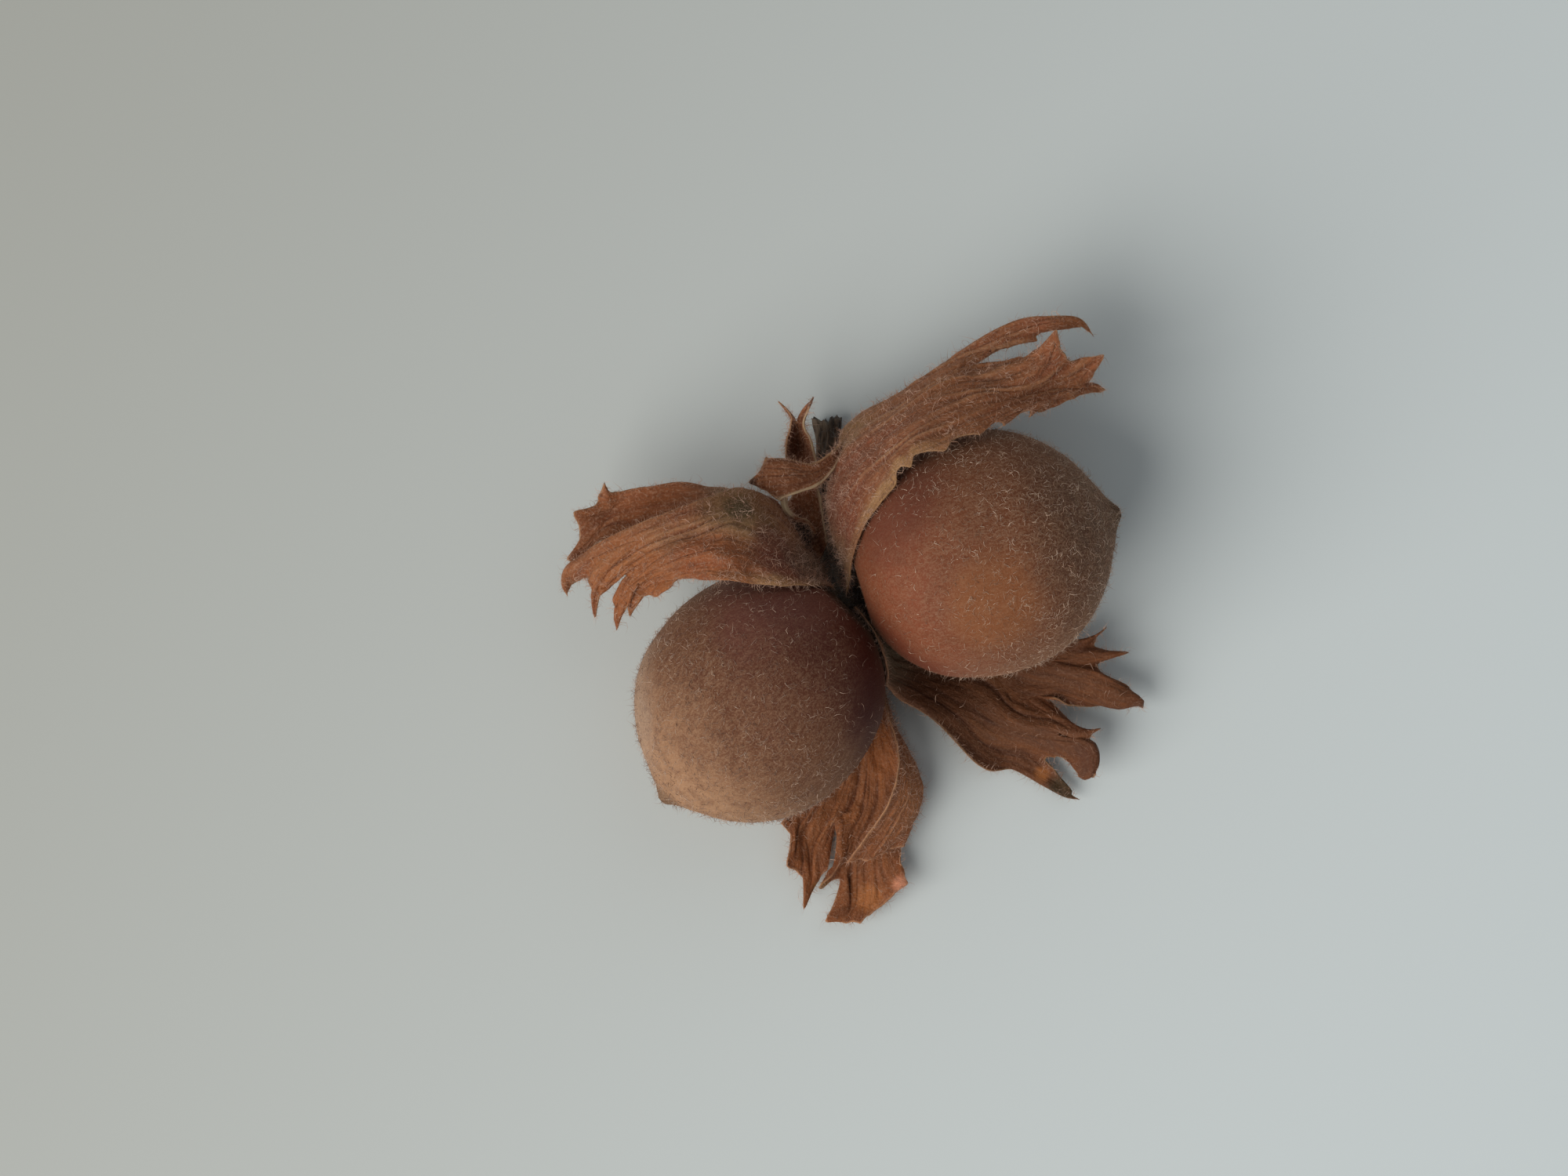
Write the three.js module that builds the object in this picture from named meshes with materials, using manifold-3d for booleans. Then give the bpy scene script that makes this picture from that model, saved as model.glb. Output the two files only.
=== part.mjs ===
// Two ripe hazelnuts lying side by side on one short stalk, each nut still held by its dried,
// lobed husk leaves. Millimetres, +Z up. The nuts rest on small flat spots at z = 0.
import * as THREE from "three";
import { mergeVertices } from "three/addons/utils/BufferGeometryUtils.js";
import Module from "manifold-3d";

const wasm = await Module();
wasm.setup();

// Driving dimensions
const nutLength = 19;
const nutRadius = 9.1;
const nutHeight = 8.95; // height of a nut's middle, a little under its radius
const leafThickness = 0.6;
const mergeDistance = 1e-4;
const touchGap = 0.35; // left between pieces that touch in nature
const wallGap = touchGap + leafThickness / 2;
const tableClearance = leafThickness / 2;
const toothLength = 0.055; // share of a vein that the saw teeth cut back
const edgeTooth = 0.16; // how far an outer margin steps in between teeth, in veins
const columnsPerVein = 3;

// Shares of a leaf's length: its body, where its pleats rise and fade, where its lobes part.
const bodyShare = 0.6;
const pleatsRise = [0.15, 0.4];
const pleatsFade = [0.7, 0.95];
const lobesPart = [0.6, 0.85];

// The whole cluster is shifted so that its outline is centred over the origin.
const clusterShift = new THREE.Vector3(-0.571, 0.208, 0);

// Radius along a nut, both as shares: flat scar at the base, widest past the middle, small point.
const nutOutline = [
  [0.0, 0.3], [0.03, 0.46], [0.1, 0.68], [0.22, 0.88], [0.38, 0.985], [0.52, 1.0],
  [0.67, 0.94], [0.8, 0.77], [0.9, 0.53], [0.955, 0.3], [0.978, 0.16], [1.0, 0.06],
];
const outlineCurve = new THREE.SplineCurve(
  nutOutline.map(([along, wide]) => new THREE.Vector2(wide * nutRadius, along * nutLength)));
const outlineSteps = 20;
const sidesAround = 36;

const nuts = {
  right: { middle: new THREE.Vector3(9.8, 4.9, nutHeight), turn: 17, dip: 0 },
  left: { middle: new THREE.Vector3(-6.8, -5.9, nutHeight), turn: 225, dip: 6 },
};

const colours = {
  nut: 0x9a6a48,
  nutDark: 0x8a5742,
  leafOuter: 0xa8683a,
  leafInner: 0x96592c,
  stalk: 0x5b5046,
};

function leafMaterial(colour) {
  return new THREE.MeshStandardMaterial({
    color: colour, roughness: 0.85, metalness: 0, side: THREE.DoubleSide,
  });
}

// A nut's turn about +Z and its dip below level, as one rotation of the lathe's +Y axis.
function nutTurn({ turn, dip }) {
  const heading = THREE.MathUtils.degToRad(turn);
  const fall = THREE.MathUtils.degToRad(dip);
  const axis = new THREE.Vector3(
    Math.cos(heading) * Math.cos(fall), Math.sin(heading) * Math.cos(fall), -Math.sin(fall));
  return new THREE.Quaternion().setFromUnitVectors(new THREE.Vector3(0, 1, 0), axis);
}

function toSolid(geometry) {
  const bare = geometry.clone();
  for (const name of ["normal", "uv"]) {
    bare.deleteAttribute(name);
  }
  const merged = mergeVertices(bare, mergeDistance);
  return new wasm.Manifold(new wasm.Mesh({
    numProp: 3,
    vertProperties: new Float32Array(merged.attributes.position.array),
    triVerts: new Uint32Array(merged.index.array),
  }));
}

function toGeometry(solid) {
  const mesh = solid.getMesh();
  const geometry = new THREE.BufferGeometry();
  geometry.setAttribute("position", new THREE.BufferAttribute(mesh.vertProperties, 3));
  geometry.setIndex(new THREE.BufferAttribute(mesh.triVerts, 1));
  geometry.computeVertexNormals();
  return geometry;
}

// A nut: its outline turned about its axis, with the lowest sliver cut off level at z = 0.
function nutGeometry(nut) {
  const profile = [new THREE.Vector2(0, 0)];
  for (const point of outlineCurve.getPoints(outlineSteps)) {
    profile.push(point);
  }
  profile.push(new THREE.Vector2(0, nutLength));
  const turned = new THREE.LatheGeometry(profile, sidesAround);
  turned.translate(0, -nutLength / 2, 0);
  turned.applyQuaternion(nutTurn(nut));
  turned.translate(nut.middle.x, nut.middle.y, nut.middle.z);
  const blockSize = 2 * nutLength;
  const block = new THREE.BoxGeometry(blockSize, blockSize, blockSize);
  block.translate(nut.middle.x, nut.middle.y, -blockSize / 2);
  return toGeometry(toSolid(turned).subtract(toSolid(block)));
}

// Distance from a nut's middle to its surface, looked up by the angle from its tip.
const reachSteps = 180;
const reachByAngle = outlineCurve.getPoints(reachSteps).map((point) => {
  const along = point.y - nutLength / 2;
  return { angle: Math.atan2(point.x, along), reach: Math.hypot(point.x, along) };
});

function nutReach(angle) {
  const first = reachByAngle[0];
  if (angle >= first.angle) {
    return nutLength / 2 / Math.cos(Math.PI - angle);
  }
  const next = reachByAngle.find((sample) => sample.angle <= angle);
  return next ? next.reach : nutLength / 2;
}

// Moves a point straight out of either nut, until it stands the given gap off the shell.
function clearOfNuts(point, gap) {
  for (const nut of Object.values(nuts)) {
    const axis = new THREE.Vector3(0, 1, 0).applyQuaternion(nutTurn(nut));
    const out = point.clone().sub(nut.middle);
    const reach = nutReach(out.angleTo(axis)) + gap;
    if (out.length() < reach) {
      point.copy(nut.middle).addScaledVector(out.normalize(), reach);
    }
  }
  return point;
}

function smooth(value, from, to) {
  return THREE.MathUtils.smoothstep(value, from, to);
}

// A leaf is a fan of veins. Over the leaf's body they are spread evenly between three rails (its
// first margin, its middle and its last margin); beyond the rails each vein runs on by itself to
// the tip of a lobe or to the notch between two lobes.
function veinCurves({ rails, veins }) {
  const [first, middle, last] = rails;
  return veins.map(([share, ...tail]) => {
    const body = first.map((place, station) => {
      const rail = new THREE.QuadraticBezierCurve3(
        new THREE.Vector3(...place),
        bulge(place, middle[station], last[station]),
        new THREE.Vector3(...last[station]));
      return rail.getPoint(share);
    });
    const points = [...body, ...tail.map((place) => new THREE.Vector3(...place))];
    const curve = new THREE.CatmullRomCurve3(points, false, "centripetal");
    return { curve, bodyEnd: (first.length - 1) / (points.length - 1) };
  });
}

// The control point that leads a quadratic curve through the middle place at its half.
function bulge(start, through, end) {
  return new THREE.Vector3(...through).multiplyScalar(2)
    .addScaledVector(new THREE.Vector3(...start), -0.5)
    .addScaledVector(new THREE.Vector3(...end), -0.5);
}

// A place on one vein: the body takes the first part of `along`, the lobe or notch the rest.
function veinPoint({ curve, bodyEnd }, along) {
  if (bodyEnd === 1) {
    return curve.getPoint(along);
  }
  const inBody = along < bodyShare;
  return curve.getPoint(inBody
    ? (along / bodyShare) * bodyEnd
    : bodyEnd + ((along - bodyShare) / (1 - bodyShare)) * (1 - bodyEnd));
}

// A place on a leaf: `across` counts veins from the first to the last, `along` runs from 0 at
// the foot to 1 at the tip of each vein. The body is rounded across its veins, and near the
// tips the leaf runs straight from lobe to notch.
function leafPoint(curves, across, along) {
  const last = curves.length - 1;
  const vein = Math.min(Math.floor(across), last - 1);
  const share = across - vein;
  const at = (index) => veinPoint(curves[THREE.MathUtils.clamp(index, 0, last)], along);
  const near = at(vein);
  const far = at(vein + 1);
  const straight = near.clone().lerp(far, share);
  const curved = catmullRom([at(vein - 1), near, far, at(vein + 2)], share);
  return curved.lerp(straight, smooth(along, ...lobesPart));
}

function catmullRom([before, near, far, after], share) {
  const square = share * share;
  const cube = square * share;
  const weights = [
    -0.5 * cube + square - 0.5 * share,
    1.5 * cube - 2.5 * square + 1,
    -1.5 * cube + 2 * square + 0.5 * share,
    0.5 * cube - 0.5 * square,
  ];
  const point = new THREE.Vector3();
  [before, near, far, after].forEach((corner, index) => {
    point.addScaledVector(corner, weights[index]);
  });
  return point;
}

// The middle sheet of a leaf as rows of points, with its saw teeth, clear of nuts and table.
function leafSheet({ rows, ...leaf }) {
  const curves = veinCurves(leaf);
  const columns = (curves.length - 1) * columnsPerVein;
  const sheet = [];
  for (let row = 0; row <= rows; row += 1) {
    const line = [];
    for (let column = 0; column <= columns; column += 1) {
      const cut = column % 2 === 1 ? toothLength : 0;
      const along = (row / rows) * (1 - cut);
      const atMargin = column === 0 || column === columns;
      const stepIn = atMargin && row % 2 === 1 ? edgeTooth : 0;
      const across = Math.abs(column / columnsPerVein - stepIn);
      line.push(settle(leafPoint(curves, across, along)));
    }
    sheet.push(line);
  }
  return sheet;
}

function settle(point) {
  clearOfNuts(point, wallGap);
  point.z = Math.max(point.z, tableClearance);
  return point;
}

// The sheet's normals, each averaged with its neighbours so that both faces run alike.
function sheetNormals(sheet) {
  const rows = sheet.length - 1;
  const columns = sheet[0].length - 1;
  const sharp = sheet.map((line, row) => line.map((_, column) => {
    const across = sheet[row][Math.min(column + 1, columns)].clone()
      .sub(sheet[row][Math.max(column - 1, 0)]);
    const along = sheet[Math.min(row + 1, rows)][column].clone()
      .sub(sheet[Math.max(row - 1, 0)][column]);
    return across.cross(along).normalize();
  }));
  return sharp.map((line, row) => line.map((_, column) => {
    const sum = new THREE.Vector3();
    for (let r = Math.max(row - 1, 0); r <= Math.min(row + 1, rows); r += 1) {
      const from = Math.max(column - columnsPerVein, 0);
      const to = Math.min(column + columnsPerVein, columns);
      for (let c = from; c <= to; c += 1) {
        sum.add(sharp[r][c]);
      }
    }
    return sum.normalize();
  }));
}

// Raises the sheet along its veins and sinks it between them.
function pleatSheet(sheet, normals, pleat) {
  sheet.forEach((line, row) => line.forEach((point, column) => {
    const along = row / (sheet.length - 1);
    const swell = smooth(along, ...pleatsRise) * (1 - smooth(along, ...pleatsFade));
    const wave = Math.cos((2 * Math.PI * column) / columnsPerVein);
    settle(point.addScaledVector(normals[row][column], pleat * swell * wave));
  }));
}

// Gives a sheet its thickness: two faces split into triangles alike, and a wall round the edge.
function thicken(sheet, normals) {
  const rows = sheet.length;
  const columns = sheet[0].length;
  const positions = [];
  for (const side of [1, -1]) {
    sheet.forEach((line, row) => line.forEach((point, column) => {
      const place = point.clone()
        .addScaledVector(normals[row][column], (side * leafThickness) / 2);
      positions.push(place.x, place.y, place.z);
    }));
  }
  const top = (row, column) => row * columns + column;
  const under = (row, column) => rows * columns + top(row, column);
  const triangles = [];
  for (let row = 0; row < rows - 1; row += 1) {
    for (let column = 0; column < columns - 1; column += 1) {
      const corners = [[row, column], [row, column + 1], [row + 1, column + 1], [row + 1, column]];
      const [a, b, c, d] = corners.map((corner) => top(...corner));
      const [e, f, g, h] = corners.map((corner) => under(...corner));
      triangles.push(a, b, c, a, c, d, e, g, f, e, h, g);
    }
  }
  const border = [];
  for (let column = 0; column < columns - 1; column += 1) {
    border.push([0, column]);
  }
  for (let row = 0; row < rows - 1; row += 1) {
    border.push([row, columns - 1]);
  }
  for (let column = columns - 1; column > 0; column -= 1) {
    border.push([rows - 1, column]);
  }
  for (let row = rows - 1; row > 0; row -= 1) {
    border.push([row, 0]);
  }
  border.forEach((corner, index) => {
    const next = border[(index + 1) % border.length];
    triangles.push(
      top(...corner), under(...next), top(...next),
      top(...corner), under(...corner), under(...next));
  });
  const geometry = new THREE.BufferGeometry();
  geometry.setAttribute("position", new THREE.Float32BufferAttribute(positions, 3));
  geometry.setIndex(triangles);
  geometry.computeVertexNormals();
  return geometry;
}

function bladeSolid(blade) {
  const sheet = leafSheet(blade);
  const normals = sheetNormals(sheet);
  pleatSheet(sheet, normals, blade.pleat);
  return toSolid(thicken(sheet, normals));
}

function leafGeometry(...blades) {
  const [first, ...others] = blades.map(bladeSolid);
  return toGeometry(others.reduce((joined, solid) => joined.add(solid), first));
}

// Over the far side of the right nut: its outer face shows, four lobes at the end.
const rightUpper = {
  rows: 18,
  pleat: 0.12,
  rails: [
    [[-0.2, 7.0, 3.4], [-1.1, 10.2, 4.4], [-0.4, 13.7, 5.2], [3.3, 16.3, 6.4], [7.0, 18.9, 7.4]],
    [[-0.2, 4.8, 6.0], [-1.6, 6.9, 7.6], [-0.3, 11.2, 10.2], [3.2, 14.2, 11.6], [7.4, 16.4, 11.8]],
    [[-0.1, 2.6, 8.8], [0.2, 4.6, 11.4], [1.6, 8.1, 13.5], [3.7, 10.6, 14.5], [7.4, 12.4, 14.6]],
  ],
  veins: [
    [0.0, [10.3, 21.1, 8.2], [13.8, 22.1, 8.8], [16.6, 21.8, 9.4], [17.3, 20.6, 9.0]],
    [0.1, [9.9, 20.0, 8.7], [13.6, 20.9, 9.2]],
    [0.2, [9.0, 18.6, 9.2]],
    [0.3, [10.6, 18.1, 10.4], [12.0, 18.2, 10.6]],
    [0.42, [11.2, 17.6, 11.4], [13.4, 19.2, 11.8], [14.4, 20.9, 12.6]],
    [0.54, [11.6, 16.8, 12.0], [14.7, 17.9, 11.0]],
    [0.66, [12.6, 16.4, 12.2], [16.1, 18.0, 10.8], [18.2, 19.4, 11.4]],
    [0.78, [13.0, 15.7, 12.2], [17.0, 17.2, 9.8]],
    [0.89, [12.9, 15.0, 12.4], [16.9, 16.6, 9.4], [18.4, 16.4, 8.8]],
    [1.0, [11.4, 14.1, 13.2], [14.7, 15.4, 10.6]],
  ],
};

// Over the far side of the left nut, swept towards its tip, from its ridge to the nut.
const leftUpper = {
  rows: 18,
  pleat: 0.12,
  rails: [
    [[-2.1, 3.9, 5.8], [-4.0, 5.9, 7.0], [-5.8, 8.5, 8.0], [-8.2, 9.4, 9.6], [-11.2, 8.3, 11.4]],
    [[-2.0, 3.0, 7.4], [-3.6, 4.0, 10.2], [-6.2, 5.6, 12.2], [-8.6, 6.4, 13.0], [-11.2, 5.9, 12.9]],
    [[-1.8, 1.9, 9.0], [-3.4, 2.1, 12.6], [-5.9, 2.6, 14.4], [-8.9, 2.9, 14.8], [-11.1, 3.0, 13.6]],
  ],
  veins: [
    [0.0, [-14.5, 7.2, 11.4], [-17.7, 6.0, 10.0], [-19.6, 4.6, 8.6], [-21.2, 3.2, 7.6],
      [-20.6, 1.7, 6.6]],
    [0.17, [-14.5, 6.3, 11.7], [-17.3, 4.9, 10.3], [-18.3, 4.2, 9.6]],
    [0.33, [-14.5, 5.3, 11.8], [-17.5, 3.5, 10.0], [-19.0, 2.1, 8.8], [-18.7, 0.0, 7.4]],
    [0.5, [-14.4, 4.4, 11.7], [-16.5, 3.0, 10.2]],
    [0.67, [-14.5, 3.5, 11.5], [-16.7, 1.8, 9.6], [-17.3, -0.8, 7.6]],
    [0.83, [-13.8, 3.0, 11.6], [-15.2, 1.7, 10.2]],
    [1.0, [-12.7, 2.5, 12.2], [-14.1, 1.5, 10.8]],
  ],
};

// The opened part of the same leaf behind the ridge, with its inner face up.
const leftUpperBack = {
  rows: 12,
  pleat: 0.1,
  rails: [
    [[-7.0, 9.3, 9.6], [-9.0, 9.6, 9.3], [-10.7, 9.8, 8.6], [-12.6, 10.1, 8.4], [-15.3, 9.6, 8.6]],
    [[-7.0, 8.3, 10.3], [-8.9, 8.6, 9.7], [-11.0, 8.6, 8.8], [-13.2, 8.5, 8.1], [-15.6, 8.2, 7.8]],
    [[-7.1, 7.4, 10.9], [-8.8, 7.5, 10.4], [-11.2, 7.2, 9.0], [-13.2, 6.8, 8.0], [-15.4, 6.2, 7.5]],
  ],
  veins: [
    [0.0, [-17.2, 9.3, 8.6], [-18.1, 9.7, 8.8]],
    [0.33, [-17.6, 8.4, 7.8], [-20.5, 7.9, 7.4]],
    [0.67, [-17.5, 7.2, 7.4], [-20.0, 5.8, 6.6]],
    [1.0, [-18.0, 5.3, 7.0], [-20.9, 4.3, 6.0]],
  ],
};

// Low under the right nut, inner face up, fanned out towards the nut's tip.
const rightLower = {
  rows: 16,
  pleat: 0.1,
  rails: [
    [[1.7, -1.3, 5.6], [1.9, -3.4, 5.0], [3.6, -5.6, 4.2], [6.4, -7.6, 3.0]],
    [[2.2, -1.5, 3.8], [3.5, -3.0, 2.5], [6.2, -4.2, 1.5], [9.6, -5.2, 1.3]],
    [[2.7, -1.6, 1.9], [5.2, -1.3, 1.1], [8.8, -1.1, 0.6], [12.6, -0.6, 0.9]],
  ],
  veins: [
    [0.0, [10.3, -11.0, 1.6], [13.1, -11.5, 1.0], [15.1, -12.8, 0.8], [16.9, -13.3, 1.4]],
    [0.1, [11.0, -9.6, 1.1], [14.7, -10.7, 0.7]],
    [0.2, [11.9, -8.0, 1.1], [15.4, -9.3, 1.4], [17.8, -10.2, 2.0], [17.3, -12.2, 2.6]],
    [0.3, [12.5, -6.8, 1.6], [15.3, -7.8, 2.4], [17.5, -8.7, 3.0]],
    [0.4, [13.0, -6.0, 2.2], [15.8, -7.0, 3.2], [18.6, -7.8, 3.8]],
    [0.5, [14.3, -5.4, 2.2]],
    [0.6, [12.8, -4.0, 1.7], [15.6, -4.4, 2.4], [18.7, -5.4, 3.2], [21.8, -6.6, 2.4]],
    [0.7, [15.4, -3.2, 2.1], [18.2, -3.4, 2.8]],
    [0.8, [15.9, -2.4, 2.3], [18.5, -2.6, 3.0], [20.8, -2.3, 3.6]],
    [0.9, [15.9, -1.6, 2.4], [17.9, -2.0, 3.0]],
    [1.0, [16.2, -0.9, 2.5], [18.6, -0.6, 3.6]],
  ],
};

// Low beside the left nut, ribbed inner face up.
const leftLower = {
  rows: 16,
  pleat: 0.1,
  rails: [
    [[0.4, -3.4, 2.2], [-0.5, -7.6, 1.6], [-2.4, -10.9, 1.2], [-3.7, -13.3, 1.2]],
    [[1.2, -3.4, 1.8], [1.3, -7.8, 1.1], [1.2, -11.4, 0.7], [0.8, -14.2, 0.7]],
    [[2.0, -3.6, 1.8], [3.1, -8.2, 1.7], [4.6, -11.1, 2.0], [5.0, -13.2, 1.9]],
  ],
  veins: [
    [0.0, [-4.8, -15.0, 1.6], [-4.2, -17.0, 2.0]],
    [0.14, [-3.4, -16.2, 1.3], [-3.7, -18.6, 1.8], [-3.5, -21.5, 2.6]],
    [0.3, [-1.1, -15.5, 0.9]],
    [0.42, [-0.5, -17.0, 0.9], [-0.7, -20.0, 1.2], [-0.8, -21.6, 1.5], [-1.9, -22.4, 2.2]],
    [0.54, [0.4, -17.5, 0.8], [0.2, -22.0, 1.2]],
    [0.65, [1.3, -17.5, 0.8], [1.2, -20.5, 1.0], [0.7, -22.7, 1.6]],
    [0.77, [2.4, -17.6, 0.9], [2.6, -20.9, 1.2]],
    [0.88, [3.4, -17.4, 1.3], [4.3, -19.6, 2.2]],
    [1.0, [4.6, -15.2, 1.9], [3.9, -17.2, 1.8]],
  ],
};

// Its far edge, folded back over it.
const leftLowerFold = {
  rows: 14,
  pleat: 0,
  rails: [
    [[1.9, -3.9, 2.0], [3.1, -8.2, 1.9], [4.6, -11.0, 2.2], [5.0, -13.0, 2.1], [4.6, -15.0, 2.1],
      [3.7, -16.7, 2.3]],
    [[2.1, -4.0, 2.6], [3.1, -8.0, 3.5], [4.2, -10.7, 3.9], [4.3, -13.0, 3.9], [3.1, -15.6, 3.6],
      [1.8, -17.7, 3.3]],
    [[2.1, -4.2, 3.1], [2.7, -7.6, 4.6], [3.2, -10.0, 5.0], [2.5, -13.2, 4.8], [1.0, -15.8, 4.4],
      [-0.6, -18.0, 3.8]],
  ],
  veins: [[0.0], [0.33], [0.67], [1.0]],
};

// The three blades of the small empty husk that stands beside the stalk.
const smallUpright = {
  rows: 8,
  pleat: 0,
  rails: [
    [[-4.8, 11.4, 5.0], [-4.8, 13.3, 6.0], [-4.7, 14.4, 6.8]],
    [[-3.7, 11.3, 3.8], [-3.8, 13.2, 4.6], [-4.1, 14.4, 5.8]],
    [[-2.6, 11.4, 5.2], [-3.0, 13.3, 6.2], [-3.4, 14.4, 7.0]],
  ],
  veins: [
    [0.0, [-5.6, 15.9, 8.0]],
    [0.5, [-4.1, 15.1, 6.6]],
    [1.0, [-2.7, 16.2, 8.2]],
  ],
};
const smallFlap = {
  rows: 10,
  pleat: 0,
  rails: [
    [[-0.9, 13.1, 7.6], [-1.8, 12.0, 8.5], [-3.1, 11.5, 8.8], [-4.7, 11.8, 9.0], [-6.2, 11.8, 9.2]],
    [[-1.6, 12.1, 7.9], [-2.3, 11.1, 8.9], [-3.4, 10.6, 9.5], [-5.1, 10.4, 9.6], [-7.2, 10.1, 8.8]],
    [[-2.2, 11.0, 7.8], [-2.8, 10.3, 8.5], [-3.6, 9.8, 9.1], [-4.7, 8.9, 9.0], [-6.5, 9.1, 8.4]],
  ],
  veins: [[0.0], [0.5], [1.0]],
};
const smallInner = {
  rows: 8,
  pleat: 0,
  rails: [
    [[-3.2, 6.2, 4.6], [-3.8, 7.2, 5.4], [-4.5, 8.0, 5.9], [-4.9, 9.2, 6.4]],
    [[-2.9, 6.8, 3.9], [-3.2, 7.9, 4.4], [-3.8, 8.9, 4.8], [-4.2, 10.1, 5.2]],
    [[-2.7, 7.4, 4.3], [-2.6, 8.5, 4.5], [-2.8, 9.5, 4.8], [-3.3, 10.4, 5.0]],
  ],
  veins: [[0.0], [0.5], [1.0]],
};

// The stalk from its torn end to the knob between the nuts' scars: places and radii.
const stalkPath = [[-1.8, 14.9, 1.3], [-1.7, 13.6, 1.1], [-1.9, 12.1, 0.9], [-2.1, 9.3, 0.9],
  [-1.9, 6.1, 1.8], [-1.0, 3.4, 3.8], [-0.3, 1.9, 5.6], [0.4, 0.7, 7.0]];
const stalkRadii = [0.95, 0.9, 0.7, 0.6, 0.75, 1.0, 1.3, 0.9];
const stalkSides = 12;
const stalkRings = 26;
const fluteCount = 4;
const fluteDepth = 0.08; // as a share of the radius

// A closed round bar of changing radius along a curve, slightly fluted, with domed ends.
function stalkGeometry() {
  const curve = new THREE.CatmullRomCurve3(
    stalkPath.map((place) => new THREE.Vector3(...place)), false, "centripetal");
  const frames = curve.computeFrenetFrames(stalkRings, false);
  const positions = [];
  const triangles = [];
  for (let ring = 0; ring <= stalkRings; ring += 1) {
    const along = ring / stalkRings;
    const centre = curve.getPointAt(along);
    const step = along * (stalkRadii.length - 1);
    const from = Math.min(Math.floor(step), stalkRadii.length - 2);
    const radius = THREE.MathUtils.lerp(stalkRadii[from], stalkRadii[from + 1], step - from);
    for (let side = 0; side < stalkSides; side += 1) {
      const angle = (2 * Math.PI * side) / stalkSides;
      const flute = 1 + fluteDepth * Math.cos(fluteCount * angle);
      const place = centre.clone()
        .addScaledVector(frames.normals[ring], radius * flute * Math.cos(angle))
        .addScaledVector(frames.binormals[ring], radius * flute * Math.sin(angle));
      clearOfNuts(place, touchGap);
      positions.push(place.x, place.y, Math.max(place.z, 0));
    }
  }
  for (let ring = 0; ring < stalkRings; ring += 1) {
    for (let side = 0; side < stalkSides; side += 1) {
      const next = (side + 1) % stalkSides;
      const a = ring * stalkSides + side;
      const b = ring * stalkSides + next;
      triangles.push(a, b, b + stalkSides, a, b + stalkSides, a + stalkSides);
    }
  }
  for (const ring of [0, stalkRings]) {
    const centre = curve.getPointAt(ring / stalkRings);
    const hub = positions.length / 3;
    positions.push(centre.x, centre.y, centre.z);
    for (let side = 0; side < stalkSides; side += 1) {
      const a = ring * stalkSides + side;
      const b = ring * stalkSides + ((side + 1) % stalkSides);
      triangles.push(hub, ...(ring === 0 ? [b, a] : [a, b]));
    }
  }
  const geometry = new THREE.BufferGeometry();
  geometry.setAttribute("position", new THREE.Float32BufferAttribute(positions, 3));
  geometry.setIndex(triangles);
  geometry.computeVertexNormals();
  return geometry;
}

const cluster = new THREE.Group();

function add(name, geometry, material) {
  const mesh = new THREE.Mesh(geometry, material);
  mesh.name = name;
  cluster.add(mesh);
}

const nutMaterial = (colour) => new THREE.MeshStandardMaterial({
  color: colour, roughness: 0.7, metalness: 0,
});
add("nut_right", nutGeometry(nuts.right), nutMaterial(colours.nut));
add("nut_left", nutGeometry(nuts.left), nutMaterial(colours.nutDark));
add("husk_right_upper", leafGeometry(rightUpper), leafMaterial(colours.leafOuter));
add("husk_right_lower", leafGeometry(rightLower), leafMaterial(colours.leafInner));
add("husk_left_upper", leafGeometry(leftUpper, leftUpperBack), leafMaterial(colours.leafOuter));
add("husk_left_lower", leafGeometry(leftLower, leftLowerFold), leafMaterial(colours.leafInner));
add("small_husk_upright", leafGeometry(smallUpright), leafMaterial(colours.leafOuter));
add("small_husk_flap", leafGeometry(smallFlap), leafMaterial(colours.leafOuter));
add("small_husk_inner", leafGeometry(smallInner), leafMaterial(colours.leafInner));
add("stalk", stalkGeometry(), new THREE.MeshStandardMaterial({
  color: colours.stalk, roughness: 0.9, metalness: 0,
}));
cluster.position.copy(clusterShift);

export default cluster;
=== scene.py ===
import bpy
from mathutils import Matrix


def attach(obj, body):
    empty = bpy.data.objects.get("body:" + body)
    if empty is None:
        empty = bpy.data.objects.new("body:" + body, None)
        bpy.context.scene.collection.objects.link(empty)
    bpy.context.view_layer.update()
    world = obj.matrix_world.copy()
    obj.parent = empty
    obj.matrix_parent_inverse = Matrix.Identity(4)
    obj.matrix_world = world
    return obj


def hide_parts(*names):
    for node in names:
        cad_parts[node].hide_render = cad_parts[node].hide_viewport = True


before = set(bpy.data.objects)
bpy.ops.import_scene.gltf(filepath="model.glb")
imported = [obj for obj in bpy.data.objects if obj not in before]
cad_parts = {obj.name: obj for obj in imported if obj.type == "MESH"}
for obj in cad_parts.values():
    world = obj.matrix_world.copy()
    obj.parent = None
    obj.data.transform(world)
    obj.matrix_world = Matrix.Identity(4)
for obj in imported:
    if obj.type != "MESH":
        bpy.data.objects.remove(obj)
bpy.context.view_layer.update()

# Two hazelnuts in their dried husks on one short stalk.
# Each leaf is a fan of veins in millimetres, as in the part's source but with finer lobes.
import math

import bmesh
import bpy
import numpy as np
from mathutils import Vector, noise

mm = 0.001
clusterShift = np.array([-0.571, 0.208, 0.0])  # centres the cluster's outline over the origin
tiny = 1e-9

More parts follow.
